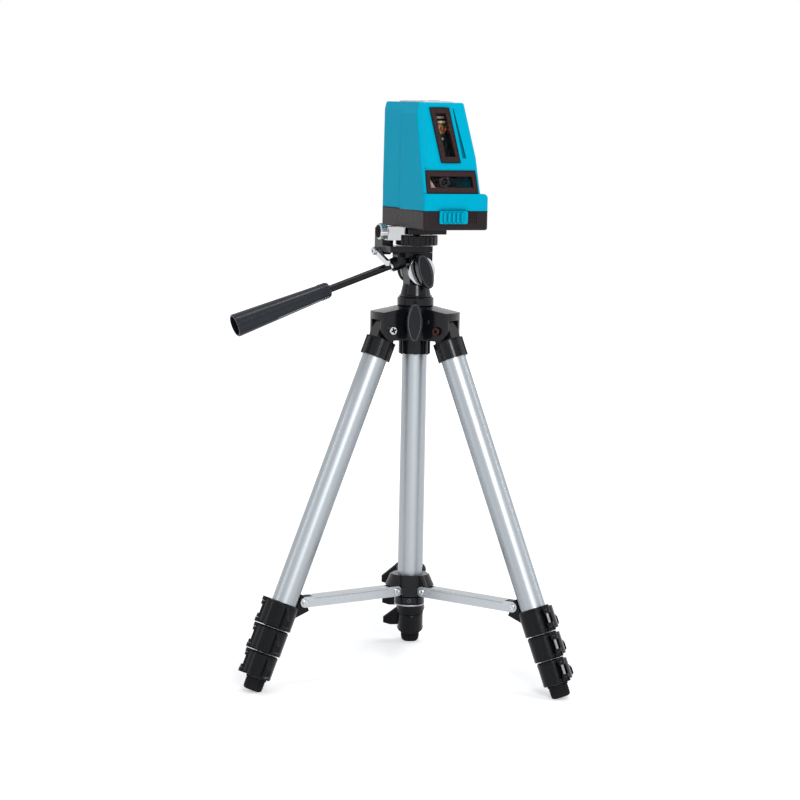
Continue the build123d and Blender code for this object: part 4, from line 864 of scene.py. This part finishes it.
def dress_outside():
    """The keypad's frame, lamps and button ring, the rear screws, the door's ribs and the tray's pads."""
    top = LASER_TOP + 1.0
    border = [(x, y, top) for x, y in rounded((-13.2, 10.2), (-41.0, 7.0), 2.2)]
    Form().sweep(laid(HEAD, border), 0.18, 6, True).done("keypad_frame", "plate", "plate", "label_white")
    lamps = Form()
    dome = [(1.3, 0.0), (1.3, 0.2), (0.9, 0.45), (0, 0.55)]
    for y in (-21.0, -14.5, -8.0):
        lamps.lathe(turned(HEAD, (-1.5, y, top - 0.1), (0, 0, 1)), dome, 24)
    lamps.done("keypad_lamps", "plate", "lamp", "label_white")
    button = turned(HEAD, (-1.5, -33.0, LASER_TOP + 0.9), (0, 0, 1))
    ring = [(4.3, 0.0), (5.1, 0.0), (5.1, 0.3), (4.9, 0.5), (4.5, 0.5), (4.3, 0.3)]
    Form().lathe(button, ring, 48, True).done("button_ring", "plate", "plate", "label_white")
    screws = Form()
    for x, z in ((-17.0, 410.0), (20.0, 410.0), (-15.0, 466.0), (13.0, 466.0)):
        depth = LASER_Y[1] - (z - BAND_TOP) / BODY_HEIGHT * REAR_LEAN
        screws.screw(turned(HEAD, (x, depth - 0.1, z), (0, 1, 0), 15), 2.1, 0.7, cross(1.2, 0.3), 0.5)
    screws.done("rear_screws", "plate", "steel", "zinc")
    ribs = Form()
    for i in range(6):
        y = -44.0 + 3.0 * i
        ribs.sweep(laid(HEAD, [(x, y, LASER_BOTTOM) for x in (-10.0, 19.0)]), 0.35, 6)
    ribs.done("door_ribs", "door", "tray", "laser_black")
    pads = Form()
    pad = [(2.6, 0.0), (2.6, 0.5), (2.2, 0.9), (0, 0.95)]
    for x, y in ((27.2, 14.5), (27.2, -13.0)):
        pads.lathe(turned(HEAD, (x, y, LASER_BOTTOM), (0, 0, -1)), pad, 28)
    pads.done("tray_pads", "plate", "rubber", "rubber_black")


dress_pivots()
dress_braces()
dress_levers()
dress_legs()
dress_head()
dress_laser()


# ---- Stage, light and camera, in metres, watts and degrees; the lens and its sensor in millimetres ----
FLOOR_REACH = 6.0
FLOOR_Z = -0.0003
FLOOR_TONE = (0.86, 0.86, 0.87, 1.0)
# Distances from the centre between which the floor's glow grows, and its two strengths.
FLOOR_GLOW = (0.3, 2.2, 0.42, 0.9)
WORLD_TONE = (0.97, 0.98, 1.0, 1.0)
WORLD_LEVEL = 0.44
PLAIN_LIGHT = (1.0, 1.0, 1.0)
COOL_LIGHT = (0.90, 0.95, 1.0)
# Place, target, size, power and colour of each lamp.
LAMPS = {
    "key": ((0.58, -2.4, 1.4), (0.0, 0.0, 0.3), (0.6, 1.0), 37.0, PLAIN_LIGHT),
    "left": ((-2.0, -0.7, 0.9), (0.0, 0.0, 0.3), (0.25, 1.6), 5.0, COOL_LIGHT),
    "right": ((2.0, 0.2, 1.1), (0.0, 0.0, 0.3), (0.25, 1.6), 5.0, COOL_LIGHT),
    "top": ((0.3, -0.2, 2.2), (0.0, 0.0, 0.4), (0.6, 0.6), 10.0, PLAIN_LIGHT),
}
CAMERA_AT = (0.0173, -2.1355, 0.481)
CAMERA_YAW = 0.76
CAMERA_PITCH = 6.668
CAMERA_ROLL = 1.16
LENS = 117.25
SENSOR_WIDTH = 36.0


def seen_rays(tree):
    """1 for the rays by which the camera, mirrors and glass see the background."""
    path = tree.nodes.new("ShaderNodeLightPath")
    seen = path.outputs["Is Camera Ray"]
    for other in ("Is Glossy Ray", "Is Transmission Ray"):
        joined = tree.nodes.new("ShaderNodeMath")
        joined.operation = "MAXIMUM"
        tree.links.new(seen, joined.inputs[0])
        tree.links.new(path.outputs[other], joined.inputs[1])
        seen = joined.outputs[0]
    return seen


def make_floor():
    """White floor that takes soft shadows; to the rays of seen_rays it glows, and more so further out."""
    mesh = bpy.data.meshes.new("floor")
    signs = ((-1, -1), (1, -1), (1, 1), (-1, 1))
    corners = [(x * FLOOR_REACH, y * FLOOR_REACH, FLOOR_Z) for x, y in signs]
    mesh.from_pydata(corners, [], [(0, 1, 2, 3)])
    floor = bpy.data.objects.new("floor", mesh)
    bpy.context.scene.collection.objects.link(floor)
    material = bpy.data.materials.new("floor_white")
    material.use_nodes = True
    tree = material.node_tree
    shader = tree.nodes["Principled BSDF"]
    shader.inputs["Base Color"].default_value = FLOOR_TONE
    shader.inputs["Roughness"].default_value = 0.9
    shader.inputs["Specular IOR Level"].default_value = 0.0
    glow = tree.nodes.new("ShaderNodeEmission")
    place = tree.nodes.new("ShaderNodeTexCoord")
    distance = tree.nodes.new("ShaderNodeVectorMath")
    distance.operation = "LENGTH"
    fade = tree.nodes.new("ShaderNodeMapRange")
    for socket, value in zip(("From Min", "From Max", "To Min", "To Max"), FLOOR_GLOW):
        fade.inputs[socket].default_value = value
    tree.links.new(place.outputs["Object"], distance.inputs[0])
    tree.links.new(distance.outputs["Value"], fade.inputs["Value"])
    tree.links.new(fade.outputs["Result"], glow.inputs["Strength"])
    both = tree.nodes.new("ShaderNodeAddShader")
    mix = tree.nodes.new("ShaderNodeMixShader")
    tree.links.new(shader.outputs[0], both.inputs[0])
    tree.links.new(glow.outputs[0], both.inputs[1])
    tree.links.new(seen_rays(tree), mix.inputs[0])
    tree.links.new(shader.outputs[0], mix.inputs[1])
    tree.links.new(both.outputs[0], mix.inputs[2])
    tree.links.new(mix.outputs[0], tree.nodes["Material Output"].inputs[0])
    mesh.materials.append(material)


def make_world():
    """Soft light all round; to the rays of seen_rays it is plain white."""
    world = bpy.data.worlds.new("studio")
    bpy.context.scene.world = world
    world.use_nodes = True
    tree = world.node_tree
    soft = tree.nodes["Background"]
    soft.inputs["Color"].default_value = WORLD_TONE
    soft.inputs["Strength"].default_value = WORLD_LEVEL
    white = tree.nodes.new("ShaderNodeBackground")
    white.inputs["Color"].default_value = (1.0, 1.0, 1.0, 1.0)
    mix = tree.nodes.new("ShaderNodeMixShader")
    tree.links.new(seen_rays(tree), mix.inputs[0])
    tree.links.new(soft.outputs[0], mix.inputs[1])
    tree.links.new(white.outputs[0], mix.inputs[2])
    tree.links.new(mix.outputs[0], tree.nodes["World Output"].inputs[0])


def make_lamp(name, at, target, size, power, colour):
    """Rectangular lamp that faces its target."""
    light = bpy.data.lights.new(name, "AREA")
    light.shape = "RECTANGLE"
    light.size, light.size_y = size
    light.energy = power
    light.color = colour
    made = bpy.data.objects.new(name, light)
    made.location = at
    made.rotation_euler = (Vector(target) - Vector(at)).to_track_quat("-Z", "Y").to_euler()
    bpy.context.scene.collection.objects.link(made)


def make_camera():
    """The photo's view."""
    camera = bpy.data.cameras.new("camera")
    camera.lens = LENS
    camera.sensor_width = SENSOR_WIDTH
    made = bpy.data.objects.new("camera", camera)
    at = Vector(CAMERA_AT)
    yaw, pitch = math.radians(CAMERA_YAW), math.radians(CAMERA_PITCH)
    ahead = Vector((-math.sin(yaw) * math.cos(pitch), math.cos(yaw) * math.cos(pitch), -math.sin(pitch)))
    look = ahead.to_track_quat("-Z", "Y").to_matrix().to_4x4()
    made.matrix_world = Matrix.Translation(at) @ look @ Matrix.Rotation(math.radians(CAMERA_ROLL), 4, "Z")
    bpy.context.scene.collection.objects.link(made)
    bpy.context.scene.camera = made


make_floor()
make_world()
for name, settings in LAMPS.items():
    make_lamp(name, *settings)
make_camera()
bpy.context.scene.view_settings.view_transform = "Standard"
